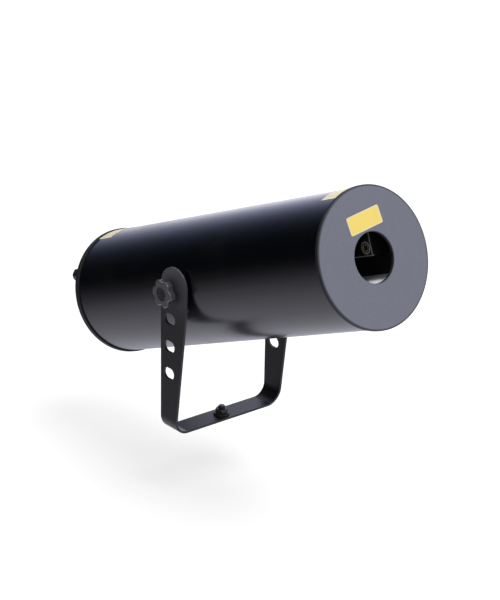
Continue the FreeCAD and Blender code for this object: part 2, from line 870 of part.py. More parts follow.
# Optical bench: a bright sheet plate on two saddles that ride on the lowest tie rod
BENCH_START = TUBE_FRONT + d.bench_front_inset
BENCH_END = TUBE_REAR - d.bench_rear_inset
BENCH_LENGTH = BENCH_END - BENCH_START
SADDLES = (BENCH_START + d.support_inset, BENCH_END - d.support_inset)
SADDLE_TOP = BENCH_TOP - d.bench_thickness
BENCH_WIDTH = 2 * (root(TUBE_BORE * TUBE_BORE - SADDLE_TOP * SADDLE_TOP) - d.bench_side_gap)
bench = body("bench")
plan = level(bench, SADDLE_TOP)
rectangle(plan, BENCH_WIDTH, BENCH_LENGTH, ZERO, (BENCH_START + BENCH_END) / 2)
pad(bench, plan, d.bench_thickness)
plan = level(bench, BENCH_TOP)
for y in SADDLES:
    for side in (-1, 1):
        circle(plan, d.screw_diameter / 2 + d.hole_clearance, side * d.bench_screw_spacing / 2, y)
pocket(bench, plan, d.bench_thickness)
keep_housing("bench_plate", soften(bench, d.bench_corner, runs("z")))

saddles = []
screws = []
for y in SADDLES:
    start = (ZERO, y - d.support_thickness / 2, ZERO)
    disc = cylinder(TUBE_BORE - d.support_clearance, d.support_thickness, start, "y")
    below = box(
        d.tube_diameter,
        d.support_thickness + 2 * d.overrun,
        d.tube_diameter / 2 + SADDLE_TOP,
        (ZERO, y, (SADDLE_TOP - d.tube_diameter / 2) / 2),
    )
    rod_hole = cylinder(
        d.rod_diameter / 2 + d.hole_clearance,
        d.support_thickness + 2 * d.overrun,
        (ZERO, y - d.support_thickness / 2 - d.overrun, -ROD_RADIUS),
        "y",
    )
    taps = []
    for side in (-1, 1):
        x = side * d.bench_screw_spacing / 2
        bite_at = (x, y, SADDLE_TOP - d.screw_bite)
        taps.append(cylinder(d.screw_diameter / 2 + d.thread_clearance, d.screw_bite + d.overrun, bite_at))
        shank = cylinder(d.screw_diameter / 2, d.screw_bite + d.bench_thickness, bite_at)
        head = cylinder(d.screw_head_diameter / 2, d.screw_head_height, (x, y, BENCH_TOP))
        screws.append(fuse(shank, head))
    saddles.append(cut(common(disc, below), rod_hole, *taps))
keep_housing("bench_supports", group(*saddles))
keep_housing("bench_screws", group(*screws))


# Laser: a black block clamped round the right-hand tie rod. Its diode's barrel lies across and fires left
BLOCK_MIDDLE = (
    d.laser_face + d.laser_block_depth / 2,
    BEAM_Y - d.laser_block_nose + d.laser_block_length / 2,
    d.beam_height - d.laser_block_drop + d.laser_block_height / 2,
)
rod_x, rod_z = next(on_rods())
barrel_bore = cylinder(
    d.laser_barrel_diameter / 2 + d.thread_clearance,
    d.laser_barrel_length + d.overrun,
    (d.laser_face - d.overrun, BEAM_Y, d.beam_height),
    "x",
)
rod_bore = cylinder(
    d.rod_diameter / 2 + d.thread_clearance,
    d.laser_block_length + 2 * d.overrun,
    (rod_x, BLOCK_MIDDLE[1] - d.laser_block_length / 2 - d.overrun, rod_z),
    "y",
)
rod_boss = cylinder(
    d.rod_diameter / 2 + d.laser_boss_wall,
    d.laser_block_length,
    (rod_x, BLOCK_MIDDLE[1] - d.laser_block_length / 2, rod_z),
    "y",
)
block = common(
    fuse(box(d.laser_block_depth, d.laser_block_length, d.laser_block_height, BLOCK_MIDDLE), rod_boss),
    cylinder(TUBE_BORE - d.laser_block_gap, d.tube_length, (ZERO, TUBE_FRONT, ZERO), "y"),
)
keep_housing("laser_block", cut(block, barrel_bore, rod_bore))
barrel_at = (d.laser_face, BEAM_Y, d.beam_height)
lens_seat = cylinder(
    d.laser_lens_diameter / 2,
    d.laser_lens_sink + d.laser_lens_thickness + d.overrun,
    shift(barrel_at, "x", -d.overrun),
    "x",
)
barrel = cylinder(d.laser_barrel_diameter / 2, d.laser_barrel_length, barrel_at, "x")
keep_housing("laser_barrel", cut(barrel, lens_seat))
LENS_CROWN = d.laser_lens_diameter / 2
lens_at = shift(barrel_at, "x", d.laser_lens_sink)
lens = common(
    cylinder(LENS_CROWN - d.thread_clearance, d.laser_lens_thickness, lens_at, "x"),
    ball(2 * LENS_CROWN, shift(lens_at, "x", 2 * LENS_CROWN)),
)
keep_housing("laser_lens", lens)


# Scanner: a small motor on a bent bracket turns a round mirror that leans a little, so the beam draws rings.
# It is drawn along its own shaft, mirror face at zero, then turned to halve the angle from laser to opening.
SCAN_TURN = Rotation(Vector(0, 0, 1), -45)
SCAN_AT = (-d.mirror_offset, BEAM_Y, d.beam_height)
HUB_START = -d.mirror_thickness - d.mirror_gap - d.hub_length
PLATE_START = HUB_START - d.scan_gap - d.scan_plate_thickness - d.motor_boss_height
MOTOR_START = PLATE_START - d.motor_length
FLOOR = BENCH_TOP - d.beam_height


def scanner(shape):
    return group(place(shape, SCAN_AT, SCAN_TURN))


mirror = cylinder(d.mirror_diameter / 2, d.mirror_thickness)
lean = TURNS["x"].multiply(Rotation(Vector(1, 0, 0), d.mirror_lean.number))
mirror = group(place(mirror, (-d.mirror_thickness, ZERO, ZERO), lean))
keep_housing("scanner_mirror", scanner(mirror))
hub = fuse(
    cylinder(d.hub_diameter / 2, d.hub_length, (HUB_START, ZERO, ZERO), "x"),
    cylinder(
        d.shaft_diameter / 2,
        HUB_START - PLATE_START + d.motor_length / 2,
        (PLATE_START - d.motor_length / 2, ZERO, ZERO),
        "x",
    ),
)
keep_housing("scanner_hub", scanner(hub))
BOSS_END = d.scan_plate_thickness + d.motor_boss_height
motor_can = cylinder(d.motor_diameter / 2, d.motor_length, (MOTOR_START, ZERO, ZERO), "x")
motor = fuse(
    soften(motor_can, d.motor_shoulder, is_round),
    cylinder(d.motor_boss_diameter / 2, BOSS_END, (PLATE_START, ZERO, ZERO), "x"),
)
shaft_bore = cylinder(
    d.shaft_diameter / 2 + d.thread_clearance,
    d.motor_length / 2 + BOSS_END + d.overrun,
    (PLATE_START - d.motor_length / 2 - d.thread_clearance, ZERO, ZERO),
    "x",
)
keep_housing("scanner_motor", scanner(cut(motor, shaft_bore)))
plate_height = d.scan_plate_rise - FLOOR
upright = box(
    d.scan_plate_thickness,
    d.scan_plate_width,
    plate_height,
    (PLATE_START + d.scan_plate_thickness / 2, ZERO, FLOOR + plate_height / 2),
)
FOOT_END = PLATE_START + d.scan_plate_thickness
foot = box(
    d.scan_foot_length,
    d.scan_plate_width,
    d.scan_plate_thickness,
    (FOOT_END - d.scan_foot_length / 2, ZERO, FLOOR + d.scan_plate_thickness / 2),
)
boss_hole = cylinder(
    d.motor_boss_diameter / 2 + d.thread_clearance,
    d.scan_plate_thickness + 2 * d.overrun,
    (PLATE_START - d.overrun, ZERO, ZERO),
    "x",
)
foot_screw_places = [
    (FOOT_END - d.scan_foot_length / 2 - d.scan_plate_thickness, side * d.scan_screw_spacing / 2, FLOOR)
    for side in (-1, 1)
]
foot_holes = [
    cylinder(d.screw_diameter / 2 + d.hole_clearance, d.scan_plate_thickness + d.overrun, at)
    for at in foot_screw_places
]
keep_housing("scanner_bracket", scanner(cut(fuse(upright, foot), boss_hole, *foot_holes)))
foot_screws = []
for at in foot_screw_places:
    head_at = shift(at, "z", d.scan_plate_thickness)
    shank = cylinder(d.screw_diameter / 2, d.scan_plate_thickness, at)
    head = cylinder(d.screw_head_diameter / 2, d.screw_head_height, head_at)
    foot_screws.append(fuse(shank, head))
keep_housing("bracket_screws", scanner(group(*foot_screws)))


# Driver board: a circuit board screwed to four pillars, with its chip, two capacitors and two plug headers
BOARD_Y = TUBE_FRONT + d.board_behind_front
BOARD_Z = BENCH_TOP + d.standoff_height
BOARD_TOP = BOARD_Z + d.board_thickness
board = body("board")
plan = level(board, BOARD_Z)
rectangle(plan, d.board_width, d.board_length, ZERO, BOARD_Y)
pad(board, plan, d.board_thickness)
plan = level(board, BOARD_TOP)
PILLAR_X = d.board_width / 2 - d.board_inset
PILLAR_Y = d.board_length / 2 - d.board_inset
pillar_places = [(x_side * PILLAR_X, BOARD_Y + y_side * PILLAR_Y) for x_side in (-1, 1) for y_side in (-1, 1)]
for x, y in pillar_places:
    circle(plan, d.screw_diameter / 2 + d.hole_clearance, x, y)
pocket(board, plan, d.board_thickness)
keep_housing("driver_board", board)
pillar_bore = d.screw_diameter / 2 + d.thread_clearance
pillars = [
    ring(d.standoff_diameter / 2, pillar_bore, d.standoff_height, (x, y, BENCH_TOP)) for x, y in pillar_places
]
keep_housing("board_standoffs", group(*pillars))
board_screws = []
for x, y in pillar_places:
    shank = cylinder(d.screw_diameter / 2, d.screw_bite, (x, y, BOARD_TOP - d.screw_bite))
    head = cylinder(d.screw_head_diameter / 2, d.screw_head_height, (x, y, BOARD_TOP))
    board_screws.append(fuse(shank, head))
keep_housing("board_screws", group(*board_screws))
chip_at = (ZERO, BOARD_Y - d.chip_length / 2, BOARD_TOP + d.chip_height / 2)
keep_housing("driver_chip", group(box(d.chip_width, d.chip_length, d.chip_height, chip_at)))
capacitors = []
headers = []
for side in (-1, 1):
    can = cylinder(
        d.capacitor_diameter / 2,
        d.capacitor_height,
        (side * d.capacitor_diameter, BOARD_Y + d.capacitor_diameter, BOARD_TOP),
    )
    capacitors.append(soften(can, d.edge_round, is_round))
    header_y = BOARD_Y + side * (d.board_length / 2 - d.connector_width)
    header_z = BOARD_TOP + d.connector_height / 2
    headers.append(
        box(d.connector_length, d.connector_width, d.connector_height, (ZERO, header_y, header_z))
    )
keep_housing("driver_capacitors", group(*capacitors))
keep_housing("board_connectors", group(*headers))


# Transformer: a laminated core with two windows, and its winding round the middle limb
CORE_MIDDLE = (ZERO, BENCH_END - d.core_inset, BENCH_TOP + d.core_height / 2)
WINDOW_HEIGHT = d.core_height - 2 * d.core_limb
WINDOW_WIDTH = d.core_width / 2 - 2 * d.core_limb
WINDOW_X = d.core_limb + WINDOW_WIDTH / 2
windows = [
    box(WINDOW_WIDTH, d.core_depth + 2 * d.overrun, WINDOW_HEIGHT, shift(CORE_MIDDLE, "x", side * WINDOW_X))
    for side in (-1, 1)
]
keep_housing("transformer_core", cut(box(d.core_width, d.core_depth, d.core_height, CORE_MIDDLE), *windows))
COIL_HEIGHT = WINDOW_HEIGHT - 2 * d.coil_slack
winding = box(
    2 * (d.core_limb + WINDOW_WIDTH - d.coil_slack),
    d.core_depth + 2 * d.coil_overhang,
    COIL_HEIGHT,
    CORE_MIDDLE,
)
limb = box(
    2 * (d.core_limb + d.coil_slack),
    d.core_depth + 2 * d.coil_slack,
    COIL_HEIGHT + 2 * d.overrun,
    CORE_MIDDLE,
)
keep_housing("transformer_coil", cut(soften(winding, d.coil_corner, runs("z")), limb))


# Fan: a square frame with a spider that carries the rotor's shaft, behind a wire guard
FAN_MIDDLE = (ZERO, (FAN_FRONT + FAN_BACK) / 2, FAN_Z)
FAN_AT = (ZERO, FAN_FRONT, FAN_Z)
frame = soften(box(d.fan_size, d.fan_depth, d.fan_size, FAN_MIDDLE), d.fan_corner, runs("y"))
fan_bore = cylinder(d.fan_bore / 2, d.fan_depth + 2 * d.overrun, shift(FAN_AT, "y", -d.overrun), "y")
screw_bores = [
    cylinder(
        d.screw_diameter / 2 + d.thread_clearance,
        d.fan_depth + 2 * d.overrun,
        (x, FAN_FRONT - d.overrun, z),
        "y",
    )
    for x, z in on_square(d.fan_screw_spacing, ZERO, FAN_Z)
]
spider_middle = (ZERO, FAN_FRONT + d.fan_spider_depth / 2, FAN_Z)
spider = fuse(
    cylinder(d.fan_hub_diameter / 2, d.fan_spider_depth, FAN_AT, "y"),
    box(d.fan_bore + 2 * d.fan_strut_bite, d.fan_spider_depth, d.fan_strut_width, spider_middle),
    box(d.fan_strut_width, d.fan_spider_depth, d.fan_bore + 2 * d.fan_strut_bite, spider_middle),
)
FAN_SHAFT = d.fan_shaft_diameter / 2
shaft_seat = cylinder(FAN_SHAFT + d.thread_clearance, d.fan_depth, shift(FAN_AT, "y", -d.overrun), "y")
keep_housing("fan_frame", cut(fuse(cut(frame, fan_bore, *screw_bores), spider), shaft_seat))

HUB_FRONT = FAN_FRONT + d.fan_spider_depth + d.fan_gap
HUB_MIDDLE = HUB_FRONT + d.fan_hub_depth / 2
blade_reach = (d.fan_rotor_diameter - d.fan_hub_diameter * FAN_HUB_WALL_SHARE) / 2
blades = []
for number in range(FAN_BLADES):
    spoke = Rotation(Vector(0, 1, 0), -360 * number / FAN_BLADES)
    turn = spoke.multiply(Rotation(Vector(1, 0, 0), FAN_BLADE_PITCH))
    blade = bind(
        doc.addObject("Part::Box", "blade"),
        Length=blade_reach + d.overrun,
        Width=d.fan_blade_chord,
        Height=d.fan_blade_thickness,
    )
    corner = Vector(
        d.fan_hub_diameter.number * FAN_HUB_WALL_SHARE / 2,
        -d.fan_blade_chord.number / 2,
        -d.fan_blade_thickness.number / 2,
    )
    middle = Vector(0, HUB_MIDDLE.number, FAN_Z.number)
    blade.Placement = Placement(turn.multVec(corner) + middle, turn)
    blades.append(blade)
sweep = cylinder(d.fan_rotor_diameter / 2, d.fan_hub_depth, (ZERO, HUB_FRONT, FAN_Z), "y")
rotor = fuse(
    common(fuse(*blades), sweep),
    cylinder(d.fan_hub_diameter / 2, d.fan_hub_depth, (ZERO, HUB_FRONT, FAN_Z), "y"),
    cylinder(FAN_SHAFT, HUB_MIDDLE - FAN_FRONT, FAN_AT, "y"),
)
keep_housing("fan_rotor", rotor)

WIRE = d.guard_wire / 2
GUARD_LEG = COVER_OUT + d.guard_eye_thickness
guard = []
eye_holes = []
for x, z in on_square(d.fan_screw_spacing, ZERO, FAN_Z):
    guard.append(cylinder(d.guard_eye_diameter / 2, d.guard_eye_thickness, (x, COVER_OUT, z), "y"))
    eye_holes.append(
        cylinder(
            d.screw_diameter / 2 + d.thread_clearance,
            d.guard_wire + 2 * d.overrun,
            (x, COVER_OUT - d.overrun, z),
            "y",
        )
    )
LEG_START = d.guard_ring_step - d.guard_wire
LEG_END = d.fan_screw_spacing / math.sqrt(2) - d.screw_head_diameter / 2 - d.hole_clearance
for lean in (45, 135, 225, 315):
    leg = bind(doc.addObject("Part::Cylinder", "leg"), Radius=WIRE, Height=LEG_END - LEG_START)
    x, z = round(math.sin(math.radians(lean)), 6), round(math.cos(math.radians(lean)), 6)
    at = (x * LEG_START, GUARD_LEG, FAN_Z + z * LEG_START)
    guard.append(place(leg, at, Rotation(Vector(0, 1, 0), lean)))
ring_at = (ZERO, GUARD_LEG + d.guard_wire * GUARD_WELD_SHARE, FAN_Z)
for number in range(1, GUARD_RINGS + 1):
    guard.append(torus(number * d.guard_ring_step - d.guard_wire, WIRE, ring_at, "y"))
keep_housing("fan_guard", cut(fuse(*guard), *eye_holes))

fan_screws = []
SCREW_SEAT = COVER_OUT + d.guard_eye_thickness
for x, z in on_square(d.fan_screw_spacing, ZERO, FAN_Z):
    shank = cylinder(d.screw_diameter / 2, SCREW_SEAT - FAN_FRONT, (x, FAN_FRONT, z), "y")
    head = cylinder(d.screw_head_diameter / 2, d.screw_head_height, (x, SCREW_SEAT, z), "y")
    fan_screws.append(fuse(shank, soften(head, d.edge_round, is_round)))
keep_housing("fan_screws", group(*fan_screws))


# Mains inlet: a moulded flange and body with a pocket for the lead's socket, three blades and two screws
INLET_OUT = COVER_OUT + d.inlet_flange_thickness
flange = box(
    d.inlet_flange_width,
    d.inlet_flange_thickness,
    d.inlet_flange_height,
    (ZERO, COVER_OUT + d.inlet_flange_thickness / 2, INLET_Z),
)
inlet_body = box(
    d.inlet_body_width,
    d.inlet_body_depth,
    d.inlet_body_height,
    (ZERO, COVER_OUT - d.inlet_body_depth / 2, INLET_Z),
)
POCKET_END = INLET_OUT - d.inlet_pocket_depth


def is_pocket_top(edge):
    return runs("y")(edge) and edge.CenterOfMass.z > INLET_Z.number


socket = soften(
    box(
        d.inlet_pocket_width,
        d.inlet_pocket_depth + d.overrun,
        d.inlet_pocket_height,
        (ZERO, POCKET_END + (d.inlet_pocket_depth + d.overrun) / 2, INLET_Z),
    ),
    d.inlet_pocket_bevel,
    is_pocket_top,
    "Part::Chamfer",
)
flange_holes = [
    cylinder(
        d.screw_diameter / 2 + d.thread_clearance,
        d.inlet_flange_thickness + 2 * d.overrun,
        (side * d.inlet_screw_spacing / 2, COVER_OUT - d.overrun, INLET_Z),
        "y",
    )
    for side in (-1, 1)
]
inlet = fuse(soften(flange, d.inlet_corner, runs("y")), inlet_body)
keep_housing("mains_inlet", cut(inlet, socket, *flange_holes))
blades = []
for across, up in ((0, 1), (-1, -1), (1, -1)):
    at = (
        across * d.inlet_pin_spacing / 2,
        POCKET_END + d.inlet_pin_length / 2,
        INLET_Z + up * d.inlet_pin_offset,
    )
    blades.append(box(d.inlet_pin_width, d.inlet_pin_length, d.inlet_pin_height, at))
keep_housing("inlet_pins", group(*blades))
inlet_screws = []
for side in (-1, 1):
    x = side * d.inlet_screw_spacing / 2
    shank = cylinder(d.screw_diameter / 2, INLET_OUT - COVER_IN, (x, COVER_IN, INLET_Z), "y")
    head = cylinder(d.screw_head_diameter / 2, d.screw_head_height, (x, INLET_OUT, INLET_Z), "y")
    inlet_screws.append(fuse(shank, soften(head, d.edge_round, is_round)))
keep_housing("inlet_screws", group(*inlet_screws))


# Mains switch: a frame snapped into the cover, and a rocker that tips on a pin across it
SWITCH_OUT = COVER_OUT + d.switch_flange_thickness


def in_switch(across, deep, high, y):
    return box(across, deep, high, (SWITCH_X, y, d.switch_rise))


mouth_depth = d.switch_body_depth + d.switch_flange_thickness - d.switch_floor
switch_mouth = in_switch(
    d.switch_mouth_width,
    mouth_depth + d.overrun,
    d.switch_mouth_height,
    SWITCH_OUT + d.overrun / 2 - mouth_depth / 2,
)
switch_flange = in_switch(
    d.switch_flange_width,
    d.switch_flange_thickness,
    d.switch_flange_height,
    COVER_OUT + d.switch_flange_thickness / 2,
)
switch_body = in_switch(
    d.switch_body_width,
    d.switch_body_depth,
    d.switch_body_height,
    COVER_OUT - d.switch_body_depth / 2,
)
pin_seat = cylinder(
    d.rocker_pin_diameter / 2 + d.running_slack,
    d.switch_body_width + 2 * d.overrun,
    (SWITCH_X - d.switch_body_width / 2 - d.overrun, COVER_OUT - d.rocker_sink, d.switch_rise),
    "x",
)
pin_room = d.rocker_pin_length + d.running_slack
pin_land = common(pin_seat, in_switch(pin_room, d.switch_body_depth, d.switch_body_height, COVER_OUT))
keep_housing("switch_frame", cut(fuse(switch_flange, switch_body), switch_mouth, pin_land))

ROCKER_AT = (SWITCH_X, COVER_OUT - d.rocker_sink, d.switch_rise)


def rocker_half(lean):
    """The part of the rocker under one of its two faces, drawn about the pin, faces outward along Y."""
    drum = cylinder(d.rocker_radius, d.rocker_width, (-d.rocker_width / 2, ZERO, ZERO), "x")
    slab = bind(
        doc.addObject("Part::Box", "slab"),
        Length=2 * d.rocker_width,
        Width=d.rocker_middle + d.rocker_root,
        Height=4 * d.rocker_radius,
    )
    turn = Rotation(Vector(1, 0, 0), lean)
    depth = d.rocker_root.number + d.rocker_middle.number
    corner = Vector(-d.rocker_width.number, -depth, -2 * d.rocker_radius.number)
    slab.Placement = Placement(turn.multVec(corner) + Vector(0, d.rocker_middle.number, 0), turn)
    return common(drum, slab)


slope = d.rocker_slope.number
rocker = fuse(
    rocker_half(slope),
    rocker_half(-slope),
    cylinder(d.rocker_pin_diameter / 2, d.rocker_pin_length, (-d.rocker_pin_length / 2, ZERO, ZERO), "x"),
)
keep_housing("switch_rocker", group(place(rocker, ROCKER_AT, Rotation(Vector(1, 0, 0), slope))))


# Fuse: a panel holder, a bayonet cap with a screwdriver slot, and the glass link inside
FUSE_AT = (FUSE_X, COVER_OUT, d.fuse_rise)
FUSE_FACE = shift(FUSE_AT, "y", d.fuse_flange_thickness)
holder = fuse(
    cylinder(d.fuse_flange_diameter / 2, d.fuse_flange_thickness, FUSE_AT, "y"),
    cylinder(d.fuse_body_diameter / 2, d.fuse_body_length, FUSE_AT, "-y"),
)
holder_depth = d.fuse_body_length + d.fuse_flange_thickness - d.fuse_floor
holder_bore = cylinder(d.fuse_bore / 2, holder_depth + d.overrun, shift(FUSE_FACE, "y", d.overrun), "-y")
keep_housing("fuse_holder", cut(holder, holder_bore))
CAP_START = shift(FUSE_FACE, "y", d.running_slack)
cap_blank = cylinder(d.fuse_cap_diameter / 2, d.fuse_cap_height, CAP_START, "y")
cap_head = soften(cap_blank, d.edge_round, is_round)
slot_at = shift(CAP_START, "y", d.fuse_cap_height)
slot = box(d.fuse_cap_diameter + d.overrun, 2 * d.fuse_slot_depth, d.fuse_slot_width, slot_at)
plug = cylinder(d.fuse_plug_diameter / 2, d.fuse_plug_length + d.running_slack, CAP_START, "-y")
keep_housing("fuse_cap", cut(fuse(cap_head, plug), slot))
LINK_START = shift(CAP_START, "-y", d.fuse_plug_length + 2 * d.running_slack)
link_end = d.fuse_link_diameter / 2
far_end = shift(LINK_START, "-y", d.fuse_link_length - d.fuse_end_length)
link = fuse(
    cylinder(link_end, d.fuse_end_length, LINK_START, "-y"),
    cylinder(d.fuse_glass_diameter / 2, d.fuse_link_length, LINK_START, "-y"),
    cylinder(link_end, d.fuse_end_length, far_end, "-y"),
)
keep_housing("fuse_link", link)


# Sound level: a small potentiometer held by its nut, its knob, and the microphone behind a hole beside it
LEVEL_AT = (LEVEL_X, COVER_OUT, d.level_rise)
POT_FRONT = shift(LEVEL_AT, "y", -d.rear_cover_thickness - d.level_pot_depth)
pot = fuse(
    cylinder(d.level_pot_diameter / 2, d.level_pot_depth, POT_FRONT, "y"),
    cylinder(
        d.level_bush_diameter / 2,
        d.rear_cover_thickness + d.level_bush_length,
        shift(LEVEL_AT, "y", -d.rear_cover_thickness),
        "y",
    ),
)
LEVEL_TIP = shift(LEVEL_AT, "y", d.level_bush_length)
level_shaft = d.level_shaft_diameter / 2
level_bore = cylinder(
    level_shaft + d.thread_clearance,
    d.level_shaft_depth + d.overrun,
    shift(LEVEL_TIP, "y", d.overrun),
    "-y",
)
keep_housing("level_pot", cut(pot, level_bore))
level_thread = cylinder(
    d.level_bush_diameter / 2 + d.thread_clearance,
    d.level_nut_height + 2 * d.overrun,
    shift(LEVEL_AT, "y", -d.overrun),
    "y",
)
keep_housing("level_nut", cut(hexagon(d.level_nut_flats, d.level_nut_height, LEVEL_AT, "y"), level_thread))
KNOB_START = shift(LEVEL_TIP, "y", d.running_slack)
KNOB_CROWN = shift(KNOB_START, "y", d.level_knob_height)


def is_crown(edge):
    return is_round(edge) and edge.CenterOfMass.y > KNOB_START[1].number + d.level_knob_round.number


dial_blank = cylinder(d.level_knob_diameter / 2, d.level_knob_height, KNOB_START, "y")
dial = soften(dial_blank, d.level_knob_round, is_crown)
mark = box(
    d.level_mark_width,
    2 * d.level_mark_depth,
    d.level_knob_diameter,
    shift(KNOB_CROWN, "z", d.level_knob_diameter / 2),
)
spindle = cylinder(level_shaft, d.level_shaft_depth, KNOB_START, "-y")
keep_housing("level_knob", fuse(cut(dial, mark), spindle))
capsule_at = (MICROPHONE_X, COVER_IN - d.microphone_depth, d.microphone_rise)
capsule = cylinder(d.microphone_diameter / 2, d.microphone_depth, capsule_at, "y")
keep_housing("microphone", soften(capsule, d.edge_round, is_round))


# Blank stickers: one on the front plate above the opening, and one over each end of the tube's top
sticker = box(
    d.front_label_width,
    d.label_thickness,
    d.front_label_height,
    (ZERO, ZERO, ZERO),
)
sticker = soften(sticker, d.label_corner, runs("y"))
sticker_at = (d.front_label_across, PLATE_FACE - d.label_thickness / 2, d.front_label_rise)
keep_housing(
    "front_label",
    group(place(sticker, sticker_at, Rotation(Vector(0, 1, 0), -d.front_label_lean.number))),
)


def top_label(y):
    """A sticker that wraps over the top of the tube, centred on y."""
    skin = ring(
        d.tube_diameter / 2 + d.label_thickness,
        d.tube_diameter / 2,
        d.top_label_length,
        (ZERO, y - d.top_label_length / 2, ZERO),
        "y",
    )
    patch = box(
        d.top_label_arc,
        d.top_label_length + 2 * d.overrun,
        d.tube_diameter,
        (ZERO, y, d.tube_diameter / 2),
    )
    patch = soften(patch, d.label_corner, runs("z"))
    wrapped = common(skin, patch)
    return group(place(wrapped, HERE, Rotation(Vector(0, 1, 0), -d.top_label_turn.number)))


LABEL_BACK = d.top_label_inset + d.top_label_length / 2
keep_housing("top_front_label", top_label(TUBE_FRONT + LABEL_BACK))
keep_housing("top_rear_label", top_label(TUBE_REAR - LABEL_BACK))


# Wiring: single leads from the inlet by way of switch and fuse to the transformer, board, laser and motors
def lead(*points):
    """A round lead through the points, with an arc of the lead's own bend radius at each corner."""
    corners = [Vector(*(sized(value).number for value in point)) for point in points]
    edges = []
    start = corners[0]
    for before, here, after in zip(corners, corners[1:], corners[2:]):
        back, ahead = (before - here).normalize(), (after - here).normalize()
        half = back.getAngle(ahead) / 2
        reach = d.lead_bend.number / math.tan(half)
        middle = here + (back + ahead).normalize() * d.lead_bend.number * (1 / math.sin(half) - 1)
        first, last = here + back * reach, here + ahead * reach
        edges += [Part.LineSegment(start, first).toShape(), Part.Arc(first, middle, last).toShape()]
        start = last
    edges.append(Part.LineSegment(start, corners[-1]).toShape())
    profile = Part.Circle(corners[0], corners[1] - corners[0], d.lead_diameter.number / 2).toShape()
    return Part.Wire(edges).makePipeShell([Part.Wire([profile])], True, False)


INLET_END = COVER_OUT - d.inlet_body_depth
INLET_LEAD = INLET_Z + d.inlet_pin_height + d.inlet_pin_offset
SWITCH_END = COVER_OUT - d.switch_body_depth
FUSE_END = COVER_OUT - d.fuse_body_length
FUSE_LEAD = d.fuse_body_diameter / 4
COIL_BACK = CORE_MIDDLE[1] + d.core_depth / 2 + d.coil_overhang
COIL_FRONT = CORE_MIDDLE[1] - d.core_depth / 2 - d.coil_overhang
COIL_X = d.core_limb
HEADER_Y = d.board_length / 2 - d.connector_width / 2
HEADER_BACK = BOARD_Y + HEADER_Y
HEADER_FRONT = BOARD_Y - HEADER_Y
HEADER_Z = BOARD_TOP + d.connector_height / 2
HEADER_STEP = d.connector_length / 8
LANE_Z = BENCH_TOP + d.lead_lift
side_x = d.inlet_pin_spacing / 2
fan_lead = (d.fan_size / 2 - d.lead_diameter, FAN_Z - d.fan_screw_spacing / 2 + 2 * d.lead_diameter)
shaft_x, shaft_y = 1 / math.sqrt(2), -1 / math.sqrt(2)


def behind_motor(distance):
    along = MOTOR_START - distance
    return (SCAN_AT[0] + shaft_x * along, SCAN_AT[1] + shaft_y * along, SCAN_AT[2])


LASER_END = BLOCK_MIDDLE[1] + d.laser_block_length / 2
leads = [
    lead(
        (side_x, INLET_END, INLET_LEAD),
        (side_x, INLET_END - d.lead_run, INLET_LEAD),
        (SWITCH_X, INLET_END - d.lead_run, d.switch_rise),
        (SWITCH_X, SWITCH_END, d.switch_rise),
    ),
    lead(
        (-side_x, INLET_END, INLET_LEAD),
        (-side_x, INLET_END - d.lead_run, INLET_LEAD),
        (FUSE_X, FUSE_END - d.lead_run, d.fuse_rise - FUSE_LEAD),
        (FUSE_X, FUSE_END, d.fuse_rise - FUSE_LEAD),
    ),
    lead(
        (SWITCH_X, SWITCH_END, d.switch_rise + d.switch_body_height / 4),
        (SWITCH_X, SWITCH_END - d.lead_run, d.switch_rise + d.switch_body_height / 4),
        (COIL_X, COIL_BACK + d.lead_run, CORE_MIDDLE[2]),
        (COIL_X, COIL_BACK, CORE_MIDDLE[2]),
    ),
    lead(
        (FUSE_X, FUSE_END, d.fuse_rise + FUSE_LEAD),
        (FUSE_X, FUSE_END - d.lead_run, d.fuse_rise + FUSE_LEAD),
        (-COIL_X, COIL_BACK + d.lead_run, CORE_MIDDLE[2]),
        (-COIL_X, COIL_BACK, CORE_MIDDLE[2]),
    ),
    lead(
        (fan_lead[0], FAN_FRONT, fan_lead[1]),
        (fan_lead[0], FAN_FRONT - d.lead_run, fan_lead[1]),
        (COIL_X, COIL_BACK + d.lead_run, CORE_MIDDLE[2] + d.core_limb),
        (COIL_X, COIL_BACK, CORE_MIDDLE[2] + d.core_limb),
    ),
    lead(
        (-HEADER_STEP, HEADER_FRONT, HEADER_Z),
        (-HEADER_STEP, HEADER_FRONT - d.lead_run, HEADER_Z),
        behind_motor(d.lead_run),
        behind_motor(ZERO),
    ),
    lead(
        (HEADER_STEP, HEADER_FRONT, HEADER_Z),
        (HEADER_STEP, HEADER_FRONT - d.lead_run, HEADER_Z),
        (BLOCK_MIDDLE[0], LASER_END + d.lead_run, d.beam_height),
        (BLOCK_MIDDLE[0], LASER_END, d.beam_height),
    ),
]
coil_run = (COIL_FRONT - HEADER_BACK) / 4
for side in (-1, 1):
    leads.append(
        lead(
            (side * COIL_X / 2, COIL_FRONT, CORE_MIDDLE[2]),
            (side * COIL_X / 2, COIL_FRONT - coil_run, CORE_MIDDLE[2]),
            (side * HEADER_STEP, HEADER_BACK + coil_run, HEADER_Z),
            (side * HEADER_STEP, HEADER_BACK, HEADER_Z),
        )
    )
sound_leads = (
    (-1, MICROPHONE_X, COVER_IN - d.microphone_depth, d.microphone_rise),
    (1, LEVEL_X, POT_FRONT[1], d.level_rise),
)
for side, x, y, z in sound_leads:
    leads.append(
        lead(
            (x, y, z),
            (x, y - d.lead_run, z),
            (side * d.lead_lane, BENCH_END - d.lead_run, LANE_Z),
            (side * d.lead_lane, HEADER_BACK + 3 * d.lead_run, LANE_Z),
            (3 * side * HEADER_STEP, HEADER_BACK + d.lead_run, HEADER_Z),
            (3 * side * HEADER_STEP, HEADER_BACK, HEADER_Z),
        )
    )
wiring = doc.addObject("Part::Feature", "wiring")
wiring.Shape = Part.makeCompound(leads)
keep_housing("wiring", wiring)

